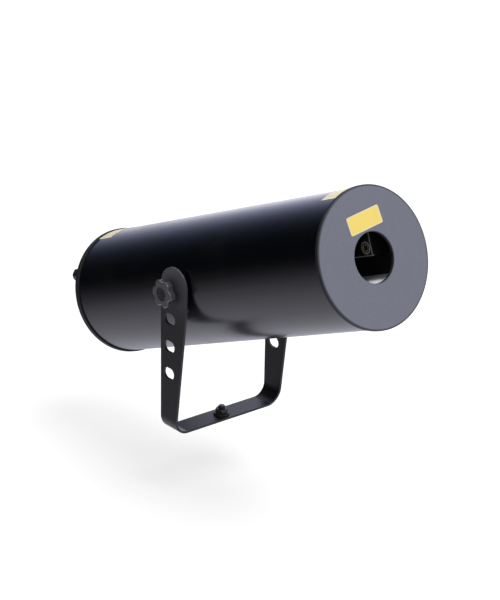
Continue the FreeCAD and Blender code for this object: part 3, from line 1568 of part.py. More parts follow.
doc.recompute()
failed = [item.Name for item in doc.Objects if "Invalid" in item.State or "Error" in item.State]
if failed:
    raise RuntimeError("objects that failed: " + ", ".join(failed))
for item in pieces:
    if item.Shape.isNull() or not item.Shape.isValid() or not item.Shape.Solids:
        raise RuntimeError(item.Label + " has no valid solid")
os.makedirs("parts", exist_ok=True)
for item in pieces:
    item.Shape.exportStep(f"parts/{item.Label}.step")
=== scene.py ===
import math

import bpy
from mathutils import Matrix, Vector

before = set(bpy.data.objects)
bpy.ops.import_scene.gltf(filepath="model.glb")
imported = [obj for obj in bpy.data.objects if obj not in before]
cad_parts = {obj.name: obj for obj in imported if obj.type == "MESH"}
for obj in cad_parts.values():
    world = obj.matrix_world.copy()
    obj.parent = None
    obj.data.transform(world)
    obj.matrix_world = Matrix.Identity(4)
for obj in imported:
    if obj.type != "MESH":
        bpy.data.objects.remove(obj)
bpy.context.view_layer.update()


# Tube: a drawn steel tube, sprayed satin black outside and dusted dull black inside.
# The sprayed coat has a faint orange peel and a haze where hands and cloths have been.
PIVOT = 0.1207
TILT = math.radians(22)
TUBE_RADIUS = 0.055
TUBE_WALL = 0.002


class Tone:
    """A socket of a shader's node tree, which sums can be written with."""

    def __init__(self, tree, socket=None):
        self.tree = tree
        self.socket = socket

    def node(self, kind, settings=None, sockets=None, output=0):
        """Adds any node: its settings first, then a value or a link for each named socket."""
        made = self.tree.nodes.new("ShaderNode" + kind)
        for name, value in (settings or {}).items():
            if name == "stops":
                band = made.color_ramp.elements
                while len(band) < len(value):
                    band.new(1)
                for stop, (position, colour) in zip(band, value):
                    stop.position = position
                    stop.color = (*colour, 1)
            elif name == "interpolation":
                made.color_ramp.interpolation = value
            else:
                setattr(made, name, value)
        for name, value in (sockets or {}).items():
            if isinstance(value, Tone):
                self.tree.links.new(value.socket, made.inputs[name])
            else:
                made.inputs[name].default_value = value
        return Tone(self.tree, made.outputs[output])

    def maths(self, operation, *others):
        return self.node("Math", {"operation": operation}, dict(enumerate((self, *others))))

    def __add__(self, other):
        return self.maths("ADD", other)

    def __radd__(self, other):
        return self.maths("ADD", other)

    def __sub__(self, other):
        return self.maths("SUBTRACT", other)

    def __rsub__(self, other):
        return self.node("Math", {"operation": "SUBTRACT"}, {0: other, 1: self})

    def __mul__(self, other):
        return self.maths("MULTIPLY", other)

    def __rmul__(self, other):
        return self.maths("MULTIPLY", other)

    def __truediv__(self, other):
        return self.maths("DIVIDE", other)


def wear(name, wearers, recipe):
    """Makes a finish and puts it on the named CAD pieces. The recipe gives the shader's sockets."""
    material = bpy.data.materials.new(name)
    material.use_nodes = True
    tree = material.node_tree
    shader = tree.nodes["Principled BSDF"]
    for socket, value in recipe(Tone(tree)).items():
        if isinstance(value, Tone):
            tree.links.new(value.socket, shader.inputs[socket])
        else:
            shader.inputs[socket].default_value = value
    for wearer in wearers:
        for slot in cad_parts[wearer].material_slots:
            slot.material = material
    return material


def part_place(start):
    """A point of the part in its own frame, in metres."""
    return start.node("TexCoord", output="Object")


def tube_place(start):
    """The same point measured from the pivot with the tube laid level: x across, y to the rear, z up."""
    shift = (0, math.sin(TILT) * PIVOT, -math.cos(TILT) * PIVOT)
    sockets = {"Vector": part_place(start), "Rotation": (TILT, 0, 0), "Location": shift}
    return start.node("Mapping", None, sockets)


def axes(place):
    return [place.node("SeparateXYZ", None, {0: place}, output) for output in range(3)]


def distance(u, v):
    """How far a point lies from the line where both are 0."""
    return (u * u + v * v).maths("SQRT")


def noise(place, scale, detail=2, harshness=0.5):
    sockets = {"Vector": place, "Scale": scale, "Detail": detail, "Roughness": harshness}
    return place.node("TexNoise", None, sockets, "Fac")


def step(value, low, high):
    """Rises from 0 at low to 1 at high."""
    sockets = {"Value": value, "From Min": low, "From Max": high}
    return value.node("MapRange", {"interpolation_type": "SMOOTHSTEP"}, sockets)


def blend(mask, low, high):
    """One colour where the mask is 0, the other where it is 1."""
    sides = [side if isinstance(side, Tone) else (*side, 1) for side in (low, high)]
    return mask.node("Mix", {"data_type": "RGBA"}, {0: mask, 6: sides[0], 7: sides[1]}, 2)


def relief(height, strength, depth):
    return height.node("Bump", None, {"Strength": strength, "Distance": depth, "Height": height})


def tube_paint(start):
    place = tube_place(start)
    x, y, z = axes(place)
    inside = 1 - step(distance(x, z), TUBE_RADIUS - TUBE_WALL, TUBE_RADIUS - TUBE_WALL / 2)
    haze = step(noise(place, 26, 4, 0.6), 0.45, 0.75)
    paint = blend(haze, (0.0011, 0.0014, 0.0024), (0.002, 0.0024, 0.0036))
    dusting = blend(noise(place, 900, 3, 0.7), (0.004, 0.004, 0.0045), (0.012, 0.012, 0.013))
    peel = noise(place, 520, 1) + noise(place, 2400, 1) * 0.25
    return {
        "Base Color": blend(inside, paint, dusting),
        "Roughness": 0.2 + haze * 0.05 + inside * 0.45,
        "IOR": 1.5,
        "Normal": relief(peel, 0.05, 0.0006),
    }


wear("tube_black", ["tube_shell"], tube_paint)


# Pivot: a turned steel nut welded inside each side of the tube, zinc plated, and a nylon washer outside it
# that the yoke's arm slides on. Zinc shows cloudy crystals and a slight straw and blue tint.
def stretched(place, scale):
    return place.node("Mapping", None, {"Vector": place, "Scale": scale})


def zinc(start):
    place = part_place(start)
    cloud = noise(place, 240, 3, 0.6)
    tint = noise(place, 60, 2)
    scratch = noise(stretched(place, (1800, 1800, 90)), 1, 2)
    plate = blend(cloud, (0.5, 0.5, 0.49), (0.68, 0.68, 0.67))
    return {
        "Base Color": blend(tint, plate, (0.62, 0.6, 0.53)),
        "Metallic": 1,
        "Roughness": 0.22 + cloud * 0.16,
        "Normal": relief(cloud + scratch * 0.5, 0.06, 0.0002),
    }


def nylon(start):
    place = tube_place(start)
    grain = noise(place, 1500, 2)
    rub = step(noise(place, 130, 3), 0.4, 0.7)
    return {
        "Base Color": blend(rub, (0.035, 0.035, 0.038), (0.06, 0.06, 0.064)),
        "Roughness": 0.55 - rub * 0.12,
        "Normal": relief(grain, 0.1, 0.0002),
    }


wear("pivot_zinc", ["pivot_nuts"], zinc)
wear("spacer_nylon", ["pivot_spacers"], nylon)


# Optical bench: a sheet of pale, blasted aluminium with the mill's grain along it, on two sawn saddles
# that ride on the lowest tie rod. Zinc-plated pan screws hold it down.
SADDLE_WEAR = 0.0005


def dot(one, other):
    return one.node("VectorMath", {"operation": "DOT_PRODUCT"}, {0: one, 1: other}, "Value")


def worn_edge(start, radius):
    """1 on the sharp edges of a piece, 0 on its flats."""
    rounded = start.node("Bevel", {"samples": 4}, {"Radius": radius}, "Normal")
    plain = start.node("NewGeometry", output="Normal")
    return step(1 - dot(rounded, plain), 0.02, 0.22)


def mill_sheet(start):
    place = tube_place(start)
    grain = noise(stretched(place, (2400, 30, 2400)), 1, 3, 0.6)
    stain = step(noise(place, 35, 4, 0.6), 0.4, 0.7)
    blasted = blend(grain, (0.87, 0.88, 0.91), (0.93, 0.94, 0.96))
    return {
        "Base Color": blend(stain, blasted, (0.83, 0.84, 0.87)),
        "Metallic": grain * 0.1,
        "Roughness": 0.5 + grain * 0.18,
        "Normal": relief(grain, 0.12, 0.0003),
    }


def sawn_block(start):
    place = tube_place(start)
    ridges = noise(stretched(place, (40, 2600, 300)), 1, 2)
    edge = worn_edge(start, SADDLE_WEAR)
    sawn = blend(ridges, (0.45, 0.46, 0.47), (0.62, 0.63, 0.64))
    return {
        "Base Color": blend(edge, sawn, (0.82, 0.82, 0.83)),
        "Metallic": 1,
        "Roughness": 0.48 - edge * 0.2,
        "Normal": relief(ridges, 0.2, 0.0003),
    }


wear("bench_sheet", ["bench_plate"], mill_sheet)
wear("saddle_metal", ["bench_supports"], sawn_block)
wear("bench_screw_zinc", ["bench_screws"], zinc)


# Laser: a milled aluminium block, black anodised, clamped to a tie rod; bright rubbed corners on its left
# face are a painted glint.
# A turned brass barrel, blackened to match with a painted glint of brass round its mouth, crosses it, and a
# small coated lens sits in the barrel's mouth.
LASER_FACE = 0.02
GLINT_EDGE = 0.0015


def blackened(glint_colour):
    """A recipe for a black finish with a painted glint: bright rubbed metal painted along the edges of the
    left face only, where light catches them.
    """
    def recipe(start):
        place = tube_place(start)
        # Painted glint: the edges are made bright metal only on the left face, where light catches them.
        glint_face = 1 - step(axes(place)[0], LASER_FACE + GLINT_EDGE, LASER_FACE + 2 * GLINT_EDGE)
        edge = worn_edge(start, GLINT_EDGE) * glint_face * step(noise(place, 420, 3), 0.15, 0.4)
        mill = noise(stretched(place, (300, 300, 2200)), 1, 2)
        black = blend(mill, (0.003, 0.003, 0.0035), (0.006, 0.006, 0.007))
        return {
            "Base Color": blend(edge, black, glint_colour),
            "Metallic": edge * 0.3,
            "Roughness": 0.42 - edge * 0.1,
            "Normal": relief(mill, 0.12, 0.0002),
        }
    return recipe


def coated_lens(start):
    place = tube_place(start)
    coat = noise(place, 500, 1)
    return {
        "Base Color": blend(coat, (0.86, 0.95, 0.93), (0.93, 0.9, 0.97)),
        "Roughness": 0.02 + coat * 0.02,
        "Transmission Weight": 1.0,
        "IOR": 1.52,
    }


wear("laser_anodised", ["laser_block"], blackened((0.9, 0.9, 0.9)))
wear("barrel_blackened", ["laser_barrel"], blackened((0.8, 0.66, 0.38)))
wear("lens_glass", ["laser_lens"], coated_lens)


# Scanner: a drawn steel motor can on a bent sheet bracket, screwed to the bench.
# A brass hub on its shaft carries a round front-silvered mirror that leans a little.
TOOL_PITCH = 0.0007


def waves(run, pitch, shape="SINE"):
    """Goes between -1 and 1 along a run, once in each pitch."""
    return (run * (2 * math.pi / pitch)).maths(shape)


def drawn_can(start):
    place = tube_place(start)
    draw = noise(stretched(place, (700, 700, 120)), 1, 3, 0.6)
    spot = step(noise(place, 900, 2), 0.62, 0.75)
    drawn = blend(draw, (0.42, 0.43, 0.45), (0.58, 0.59, 0.61))
    return {
        "Base Color": blend(spot, drawn, (0.36, 0.36, 0.37)),
        "Metallic": 1,
        "Roughness": 0.28 + draw * 0.15,
        "Normal": relief(draw, 0.08, 0.0002),
    }


def turned_brass(start):
    place = tube_place(start)
    x, y, z = axes(place)
    tool = waves(x + y, TOOL_PITCH)
    dull = noise(place, 300, 3, 0.6)
    return {
        "Base Color": blend(dull, (0.62, 0.43, 0.16), (0.45, 0.3, 0.12)),
        "Metallic": 1,
        "Roughness": 0.2 + dull * 0.2,
        "Normal": relief(tool, 0.05, 0.0001),
    }


def silvered(start):
    place = tube_place(start)
    dust = step(noise(place, 1600, 3, 0.7), 0.6, 0.72)
    return {
        "Base Color": blend(dust, (0.9, 0.91, 0.93), (0.74, 0.75, 0.76)),
        "Metallic": 1,
        "Roughness": 0.02 + dust * 0.12,
    }


wear("motor_steel", ["scanner_motor", "scanner_bracket"], drawn_can)
wear("hub_brass", ["scanner_hub"], turned_brass)
wear("mirror_silver", ["scanner_mirror"], silvered)
wear("bracket_screw_zinc", ["bracket_screws"], zinc)


# Driver board: a glass-fibre board with green solder mask over etched tracks, on zinc-plated pillars.
# It carries a moulded chip, two sleeved capacitors with bare aluminium tops, and two cream plug headers.
WAY_PITCH = 0.0025


def solder_mask(start):
    place = tube_place(start)
    cells = place.node("TexVoronoi", {"distance": "MANHATTAN"}, {"Vector": place, "Scale": 260}, "Distance")
    track = step(noise(stretched(place, (900, 60, 300)), 1, 0), 0.52, 0.56)
    pad = 1 - step(cells, 0.12, 0.16)
    mask = blend(track, (0.012, 0.085, 0.03), (0.03, 0.17, 0.062))
    return {
        "Base Color": blend(pad, mask, (0.6, 0.58, 0.52)),
        "Metallic": pad,
        "Roughness": 0.3 + noise(place, 700, 2) * 0.12,
        "Normal": relief(track + pad, 0.25, 0.0001),
    }


def chip_moulding(start):
    place = tube_place(start)
    grain = noise(place, 2600, 2)
    return {
        "Base Color": blend(grain, (0.014, 0.014, 0.015), (0.028, 0.028, 0.03)),
        "Roughness": 0.5 + grain * 0.15,
        "Normal": relief(grain, 0.15, 0.0001),
    }


def capacitor_can(start):
    place = tube_place(start)
    turned = {"convert_from": "WORLD", "convert_to": "OBJECT", "vector_type": "NORMAL"}
    facing = start.node("VectorTransform", turned, {0: start.node("NewGeometry", output="Normal")})
    tube_up = (0, math.sin(TILT), math.cos(TILT))
    top = step(dot(facing, tube_up), 0.8, 0.95)
    shade = noise(place, 180, 2)
    sleeve = blend(shade, (0.016, 0.03, 0.11), (0.03, 0.052, 0.17))
    return {
        "Base Color": blend(top, sleeve, (0.72, 0.72, 0.73)),
        "Metallic": top,
        "Roughness": 0.26 + shade * 0.1,
    }


def header_moulding(start):
    place = tube_place(start)
    ways = step(waves(axes(place)[0], WAY_PITCH, "COSINE"), 0.7, 0.9)
    cream = blend(noise(place, 300, 3), (0.76, 0.73, 0.64), (0.84, 0.81, 0.73))
    return {
        "Base Color": blend(ways, cream, (0.3, 0.28, 0.24)),
        "Roughness": 0.42 + noise(place, 1400, 2) * 0.12,
        "Normal": relief(1 - ways, 0.3, 0.0002),
    }


wear("board_mask", ["driver_board"], solder_mask)
wear("pillar_zinc", ["board_standoffs", "board_screws"], zinc)
wear("chip_black", ["driver_chip"], chip_moulding)
wear("capacitor_sleeve", ["driver_capacitors"], capacitor_can)
wear("header_cream", ["board_connectors"], header_moulding)


# Transformer: a stack of varnished iron laminations with its winding round the middle limb.
# The winding is bound in overlapping turns of amber tape.
SHEET = 0.0005
TAPE_LAP = 0.006
TAPE_WANDER = 0.0012


def laminations(start):
    place = tube_place(start)
    sheets = waves(axes(place)[1], SHEET)
    rust = step(noise(place, 160, 4, 0.65), 0.58, 0.75)
    return {
        "Base Color": blend(rust, (0.1, 0.1, 0.11), (0.12, 0.062, 0.03)),
        "Metallic": 0.7 - rust * 0.5,
        "Roughness": 0.42 + rust * 0.25,
        "Normal": relief(sheets, 0.35, 0.0002),
    }


def binding_tape(start):
    place = tube_place(start)
    lap = waves(axes(place)[2] + noise(place, 60, 1) * TAPE_WANDER, TAPE_LAP)
    crease = noise(stretched(place, (200, 200, 900)), 1, 3)
    return {
        "Base Color": blend(step(lap, -0.9, 0.9), (0.52, 0.3, 0.03), (0.66, 0.43, 0.06)),
        "Roughness": 0.3 + crease * 0.18,
        "Normal": relief(lap * 0.5 + crease, 0.25, 0.0002),
    }


wear("core_varnish", ["transformer_core"], laminations)
wear("coil_tape", ["transformer_coil"], binding_tape)


# Wiring: single stranded copper leads, each drawn through a coloured vinyl cover.
# They run loose above the bench and behind it, and are soldered or plugged at their ends.
def lead_cover(start):
    place = tube_place(start)
    pick = start.node("NewGeometry", output="Random Per Island")
    stops = [(0, (0.11, 0.045, 0.02)), (0.18, (0.02, 0.06, 0.26)), (0.36, (0.45, 0.02, 0.02)),
             (0.54, (0.02, 0.02, 0.022)), (0.7, (0.5, 0.36, 0.03)), (0.86, (0.55, 0.55, 0.54))]
    colour = pick.node("ValToRGB", {"stops": stops, "interpolation": "CONSTANT"}, {0: pick})
    grime = step(noise(place, 420, 3), 0.5, 0.8)
    return {
        "Base Color": blend(grime * 0.35, colour, (0.05, 0.05, 0.05)),
        "Roughness": 0.42 + grime * 0.2,
        "Normal": relief(noise(place, 1800, 2), 0.1, 0.0001),
    }


wear("lead_vinyl", ["wiring"], lead_cover)


# Front plate: a turned steel disc, stove painted a blue grey with a fine grain, and black behind.
# A darker line round the rim and over the bore of the beam opening is painted shade on the plate's rounded
# edge and bore.
PLATE_RADIUS = 0.0562
PLATE_FACE = -0.1883
OPENING_RADIUS = 0.02
RIM_SHADE_WIDTH = 0.0018
RIM_SHADE_FADE = 0.001
BORE_SHADE_WIDTH = 0.0002
BORE_SHADE_FADE = 0.0006
FACE_DEPTH = 0.0004


def plate_paint(start):
    place = tube_place(start)
    x, y, z = axes(place)
    radius = distance(x, z)
    rim_start = PLATE_RADIUS - RIM_SHADE_WIDTH
    bore_end = OPENING_RADIUS + BORE_SHADE_WIDTH
    # Painted shade: a darker line round the rounded rim and over the bore of the opening.
    painted_rim_shade = step(radius, rim_start, rim_start + RIM_SHADE_FADE)
    painted_bore_shade = 1 - step(radius, bore_end, bore_end + BORE_SHADE_FADE)
    behind = step(y, PLATE_FACE + FACE_DEPTH, PLATE_FACE + 2 * FACE_DEPTH)
    grain = noise(place, 2100, 2)
    cloud = noise(place, 40, 3, 0.6)
    coat = blend(cloud, (0.106, 0.111, 0.143), (0.123, 0.128, 0.164))
    speck = blend(step(grain, 0.35, 0.7), coat, (0.142, 0.148, 0.185))
    edge_shaded = blend(painted_bore_shade, blend(painted_rim_shade, speck, (0.02, 0.021, 0.028)), (0.045, 0.047, 0.06))
    return {
        "Base Color": blend(behind, edge_shaded, (0.004, 0.004, 0.005)),
        "Roughness": 0.5 + grain * 0.1 + behind * 0.2,
        "Normal": relief(grain, 0.12, 0.0002),
    }


wear("plate_grey", ["front_plate"], plate_paint)


# Rear cover: a shallow spun cap, sprayed a flatter black than the tube and cut out for what it carries.
# Its rim stands a little proud of the tube and is rubbed through in places.
RIM_WEAR = 0.0005


def cover_paint(start):
    place = tube_place(start)
    grain = noise(place, 1300, 2)
    haze = step(noise(place, 30, 4, 0.6), 0.45, 0.75)
    edge = worn_edge(start, RIM_WEAR) * step(noise(place, 260, 3), 0.5, 0.75)
    black = blend(haze, (0.004, 0.0043, 0.0052), (0.008, 0.0083, 0.0094))
    return {
        "Base Color": blend(edge, black, (0.1, 0.1, 0.105)),
        "Roughness": 0.62 + haze * 0.08,
        "Normal": relief(grain, 0.07, 0.0003),
    }


wear("cover_black", ["rear_cover"], cover_paint)


# Fan: a moulded frame and a seven-bladed rotor in black glass-filled plastic.
# A guard of welded, chromed wire covers it, and four zinc screws hold the stack.
def moulding(dark, light, roughness):
    """A recipe for a black moulding with a fine spark-eroded grain."""
    def recipe(start):
        place = tube_place(start)
        grain = noise(place, 2300, 2)
        rub = step(noise(place, 140, 3, 0.6), 0.5, 0.8)
        return {
            "Base Color": blend(rub, dark, light),
            "Roughness": roughness + grain * 0.08 - rub * 0.05,
            "Normal": relief(grain, 0.14, 0.0002),
        }
    return recipe


def chrome_wire(start):
    place = tube_place(start)
    pit = step(noise(place, 1500, 3, 0.65), 0.6, 0.75)
    return {
        "Base Color": blend(pit, (0.78, 0.79, 0.8), (0.5, 0.49, 0.47)),
        "Metallic": 1,
        "Roughness": 0.1 + pit * 0.2,
    }


fan_plastic = moulding((0.014, 0.014, 0.015), (0.024, 0.024, 0.026), 0.42)
wear("fan_moulding", ["fan_frame", "fan_rotor"], fan_plastic)
wear("guard_chrome", ["fan_guard"], chrome_wire)
wear("fan_screw_zinc", ["fan_screws"], zinc)


# Mains inlet: a black thermoset moulding with three nickelled brass blades pressed into it.
# Two zinc-plated screws hold its flange to the rear cover.
def nickel(start):
    place = tube_place(start)
    wipe = noise(stretched(place, (1600, 60, 1600)), 1, 3)
    return {
        "Base Color": blend(wipe, (0.66, 0.63, 0.56), (0.74, 0.71, 0.65)),
        "Metallic": 1,
        "Roughness": 0.2 + wipe * 0.14,
        "Normal": relief(wipe, 0.08, 0.0001),
    }


inlet_thermoset = moulding((0.016, 0.016, 0.017), (0.026, 0.026, 0.028), 0.4)
wear("inlet_moulding", ["mains_inlet"], inlet_thermoset)
wear("inlet_nickel", ["inlet_pins"], nickel)
wear("inlet_screw_zinc", ["inlet_screws"], zinc)


# Mains switch: a snap-in frame and a rocker, both moulded in gloss black nylon.
# Fingers have polished them, so they shine more than the other mouldings.
switch_nylon = moulding((0.012, 0.012, 0.013), (0.018, 0.018, 0.02), 0.17)
wear("switch_gloss", ["switch_frame", "switch_rocker"], switch_nylon)


# Fuse: a panel holder and a slotted bayonet cap, both moulded in black plastic.
# Inside lies a glass link with nickelled end caps.
LINK_REAR = 0.1441
LINK_LENGTH = 0.02
LINK_CAP = 0.005
LINK_FADE = 0.0002


def glass_link(start):
    place = tube_place(start)
    from_middle = (axes(place)[1] - (LINK_REAR - LINK_LENGTH / 2)).maths("ABSOLUTE")
    half_glass = LINK_LENGTH / 2 - LINK_CAP
    metal = step(from_middle, half_glass - LINK_FADE, half_glass + LINK_FADE)
    smear = noise(place, 500, 2)
    glass = blend(smear, (0.72, 0.8, 0.79), (0.8, 0.86, 0.85))
    return {
        "Base Color": blend(metal, glass, (0.7, 0.68, 0.63)),
        "Metallic": metal,
        "Roughness": 0.06 + smear * 0.08 + metal * 0.16,
        "Alpha": 0.4 + metal * 0.6,
    }


fuse_plastic = moulding((0.015, 0.015, 0.016), (0.025, 0.025, 0.027), 0.34)
wear("fuse_moulding", ["fuse_holder", "fuse_cap"], fuse_plastic)
wear("fuse_glass", ["fuse_link"], glass_link)


# Sound level: a stamped potentiometer can and its zinc nut, a knob with a white line let into its face,
# and a microphone capsule with a felt-covered front behind its hole.
LEVEL_ACROSS = 0.04295
LINE_FLOOR = 0.1638
LINE_HALF = 0.0005
LINE_FADE = 0.00015
LINE_NEAR = 0.0001
LINE_AWAY = 0.0003
CAPSULE_FRONT = 0.1457
FELT = 0.0008
FELT_FADE = 0.0002


def dial_moulding(start):
    place = tube_place(start)
    x, y, z = axes(place)
    line = 1 - step((x - LEVEL_ACROSS).maths("ABSOLUTE"), LINE_HALF, LINE_HALF + LINE_FADE)
    floor = 1 - step((y - LINE_FLOOR).maths("ABSOLUTE"), LINE_NEAR, LINE_AWAY)
    grain = noise(place, 2300, 2)
    black = blend(grain, (0.014, 0.014, 0.015), (0.022, 0.022, 0.024))
    return {
        "Base Color": blend(line * floor, black, (0.8, 0.8, 0.78)),
        "Roughness": 0.36 + grain * 0.1,
        "Normal": relief(grain, 0.14, 0.0002),
    }


def stamped_can(start):
    place = tube_place(start)
    press = noise(place, 420, 3, 0.6)
    return {
        "Base Color": blend(press, (0.48, 0.48, 0.47), (0.62, 0.62, 0.61)),
        "Metallic": 1,
        "Roughness": 0.3 + press * 0.16,
        "Normal": relief(press, 0.1, 0.0002),
    }


def felt_face(start):
    place = tube_place(start)
    fibre = noise(place, 2600, 4, 0.7)
    felt_back = CAPSULE_FRONT - FELT
    front = step(axes(place)[1], felt_back, felt_back + FELT_FADE)
    felt = blend(fibre, (0.006, 0.006, 0.006), (0.02, 0.02, 0.02))
    return {
        "Base Color": blend(front, (0.6, 0.6, 0.59), felt),
        "Metallic": 1 - front,
        "Roughness": 0.32 + front * 0.55,
        "Normal": relief(fibre, 0.3, 0.0002),
    }


wear("pot_metal", ["level_pot"], stamped_can)
wear("level_nut_zinc", ["level_nut"], zinc)
wear("dial_black", ["level_knob"], dial_moulding)
wear("microphone_felt", ["microphone"], felt_face)


# Tie rods: three threaded steel rods, zinc plated, that pull both ends onto the tube.
# Domed cap nuts in blackened steel close them at the back.
ROD_PITCH = 0.001
STEEL_WEAR = 0.0005


def threaded(direction, pitch, finish):
    """A recipe for a screw thread rolled along one direction of the tube or the yoke."""
    def recipe(start):
        place = tube_place(start) if direction == "along" else part_place(start)
        run = axes(place)[{"across": 0, "along": 1, "up": 2}[direction]]
        sockets = finish(start)
        sockets["Normal"] = relief(waves(run, pitch), 0.9, 0.0003)
        return sockets
    return recipe


def black_steel(start):
    place = part_place(start)
    edge = worn_edge(start, STEEL_WEAR) * step(noise(place, 500, 3), 0.45, 0.7)
    oil = noise(place, 180, 3, 0.6)
    black = blend(oil, (0.014, 0.014, 0.016), (0.024, 0.024, 0.027))
    return {
        "Base Color": blend(edge, black, (0.3, 0.3, 0.31)),
        "Metallic": 0.35 + edge * 0.5,
        "Roughness": 0.3 + oil * 0.12,
        "Normal": relief(oil, 0.08, 0.0003),
    }


wear("rod_thread", ["tie_rods"], threaded("along", ROD_PITCH, zinc))
wear("cap_nut_black", ["tie_rod_nuts"], black_steel)


# Yoke: one flat steel strip, punched to its taper and slots, bent to a U and powder coated satin black.
# Powder lies in a fine even grain and thins on the punched edges; the tops of the arms are painted lighter,
# a painted highlight of light from above.
TOP_LIGHT_BELOW = 0.03
TOP_LIGHT_ABOVE = 0.02
PUNCHED_WEAR = 0.0004


def powder_coat(start):
    place = part_place(start)
    # Painted highlight: the coat is made lighter towards the tops of the arms, as if lit from above.
    painted_top_light = step(axes(place)[2], PIVOT - TOP_LIGHT_BELOW, PIVOT + TOP_LIGHT_ABOVE)
    grain = noise(place, 900, 2) + noise(place, 2800, 1) * 0.4
    edge = worn_edge(start, PUNCHED_WEAR)
    scuff = step(noise(stretched(place, (80, 80, 700)), 1, 3), 0.66, 0.78)
    coat = blend(scuff * 0.5, (0.004, 0.004, 0.005), (0.014, 0.014, 0.016))
    top_lit_coat = blend(painted_top_light, coat, (0.05, 0.05, 0.058))
    return {
        "Base Color": blend(edge * 0.5, top_lit_coat, (0.03, 0.03, 0.033)),
        "Roughness": 0.4 + scuff * 0.08,
        "Specular IOR Level": 0.4,
        "Normal": relief(grain, 0.1, 0.0004),
    }


wear("yoke_powder", ["yoke_bracket"], powder_coat)


# Hanging bolt: a low-headed M6 bolt up through the crossbar, with a plain washer and a domed nut.
# All three are rolled or pressed steel, blackened and oiled.
BOLT_PITCH = 0.001

wear("bolt_thread", ["hanging_bolt"], threaded("up", BOLT_PITCH, black_steel))
wear("bolt_black", ["hanging_washer", "hanging_nut"], black_steel)


# Star knobs: six-lobed heads moulded in black phenolic on blackened studs, over plain washers.
# A stud's end shows in the recess of its head.
STUD_PITCH = 0.00125


def phenolic(start):
    place = part_place(start)
    flow = noise(place, 90, 3, 0.6)
    prick = step(noise(place, 1900, 2), 0.66, 0.74)
    return {
        "Base Color": blend(flow, (0.03, 0.03, 0.033), (0.045, 0.045, 0.049)),
        "Roughness": 0.16 + flow * 0.08 + prick * 0.1,
        "Coat Weight": 0.25 + flow * 0.1,
        "Normal": relief(flow + prick * 0.1, 0.06, 0.0005),
    }


wear("knob_phenolic", ["left_knob", "right_knob"], phenolic)
wear("stud_thread", ["left_knob_stud", "right_knob_stud"], threaded("across", STUD_PITCH, black_steel))
wear("knob_washer_black", ["left_knob_washer", "right_knob_washer"], black_steel)


# Stickers: plain yellow vinyl with a paler margin, one on the front plate and one on each end of the tube.
# They are die cut and pressed on by hand; the two on top are painted paler, a painted sheen of light
# glancing off them.
LABEL_MARGIN = 0.0009
MARGIN_FADE = 0.0001
FADED_SHARE = 0.93
FRONT_LABEL_ACROSS = -0.0023
FRONT_LABEL_UP = 0.0293
FRONT_LABEL_WIDTH = 0.0345
FRONT_LABEL_HEIGHT = 0.0145
FRONT_LABEL_LEAN = math.radians(8.5)
TOP_LABEL_LENGTH = 0.018
TOP_LABEL_ARC = 0.034
TOP_LABEL_TURN = math.radians(5)
TOP_LABEL_BACK = 0.0098
TUBE_FRONT = -0.1853
TUBE_REAR = 0.1437


def vinyl(start, margin, body, pale):
    place = tube_place(start)
    fade = noise(place, 120, 3, 0.6)
    speck = noise(place, 2000, 2)
    ink = blend(fade, body, tuple(FADED_SHARE * part for part in body))
    return {
        "Base Color": blend(margin, ink, pale),
        "Roughness": 0.38 + speck * 0.12,
        "Normal": relief(speck, 0.05, 0.0001),
    }


def edging(u, v, width, height):
    """1 in the margin along a sticker's edge, with u and v measured from its middle."""
    inner_u = width / 2 - LABEL_MARGIN
    inner_v = height / 2 - LABEL_MARGIN
    beside = step(u.maths("ABSOLUTE"), inner_u, inner_u + MARGIN_FADE)
    return beside.maths("MAXIMUM", step(v.maths("ABSOLUTE"), inner_v, inner_v + MARGIN_FADE))


def front_sticker(start):
    x, y, z = axes(tube_place(start))
    across = x - FRONT_LABEL_ACROSS
    up = z - FRONT_LABEL_UP
    u = across * math.cos(FRONT_LABEL_LEAN) + up * math.sin(FRONT_LABEL_LEAN)
    v = up * math.cos(FRONT_LABEL_LEAN) - across * math.sin(FRONT_LABEL_LEAN)
    margin = edging(u, v, FRONT_LABEL_WIDTH, FRONT_LABEL_HEIGHT)
    return vinyl(start, margin, (0.8, 0.615, 0.145), (0.7, 0.63, 0.4))


def top_sticker(middle):
    """A recipe for a sticker over the tube, with its middle at the given place along it."""
    def recipe(start):
        x, y, z = axes(tube_place(start))
        u = x * math.cos(TOP_LABEL_TURN) + z * math.sin(TOP_LABEL_TURN)
        margin = edging(u, y - middle, TOP_LABEL_ARC, TOP_LABEL_LENGTH)
        # The paler colours of the top stickers are a painted sheen, lighter than the front sticker's ink.
        return vinyl(start, margin, (0.85, 0.74, 0.47), (0.9, 0.85, 0.68))
    return recipe


wear("front_vinyl", ["front_label"], front_sticker)
wear("top_front_vinyl", ["top_front_label"], top_sticker(TUBE_FRONT + TOP_LABEL_BACK))
wear("top_rear_vinyl", ["top_rear_label"], top_sticker(TUBE_REAR - TOP_LABEL_BACK))


# Studio: a white surround, and a white floor that lies below all that the tilting tube reaches.
# In a gloss the surround darkens towards the rear left, as behind a black flag, and a panel glows at the
# rear right, so that the tube shows its round. The light is a little cool.
FULL_TILT = math.radians(80)
FLOOR_GAP = 0.002
NOSE_DOWN = FULL_TILT - TILT
LOWEST = PIVOT + PLATE_FACE * math.sin(NOSE_DOWN) - PLATE_RADIUS * math.cos(NOSE_DOWN)
FLOOR = LOWEST - FLOOR_GAP
FLOOR_REACH = 5
FLOOR_GLOW = 0.52
NEAR_SHARE = 0.78
GLOW_NEAR = 0.2
GLOW_FAR = 1.5
AMBIENT = 0.6
OPEN_BELOW = (0.05, 0.9)
OPEN_ABOVE = (0.34, 0.86)
FLAG_RIGHT = math.radians(25)
FLAG_LEFT = math.radians(70)
FLAG_FADE = math.radians(75)
FLAG_DEPTH = 0.99
PANEL_AIM = math.radians(-45)
PANEL_FADE = math.radians(50)
PANEL_GAIN = 1.25
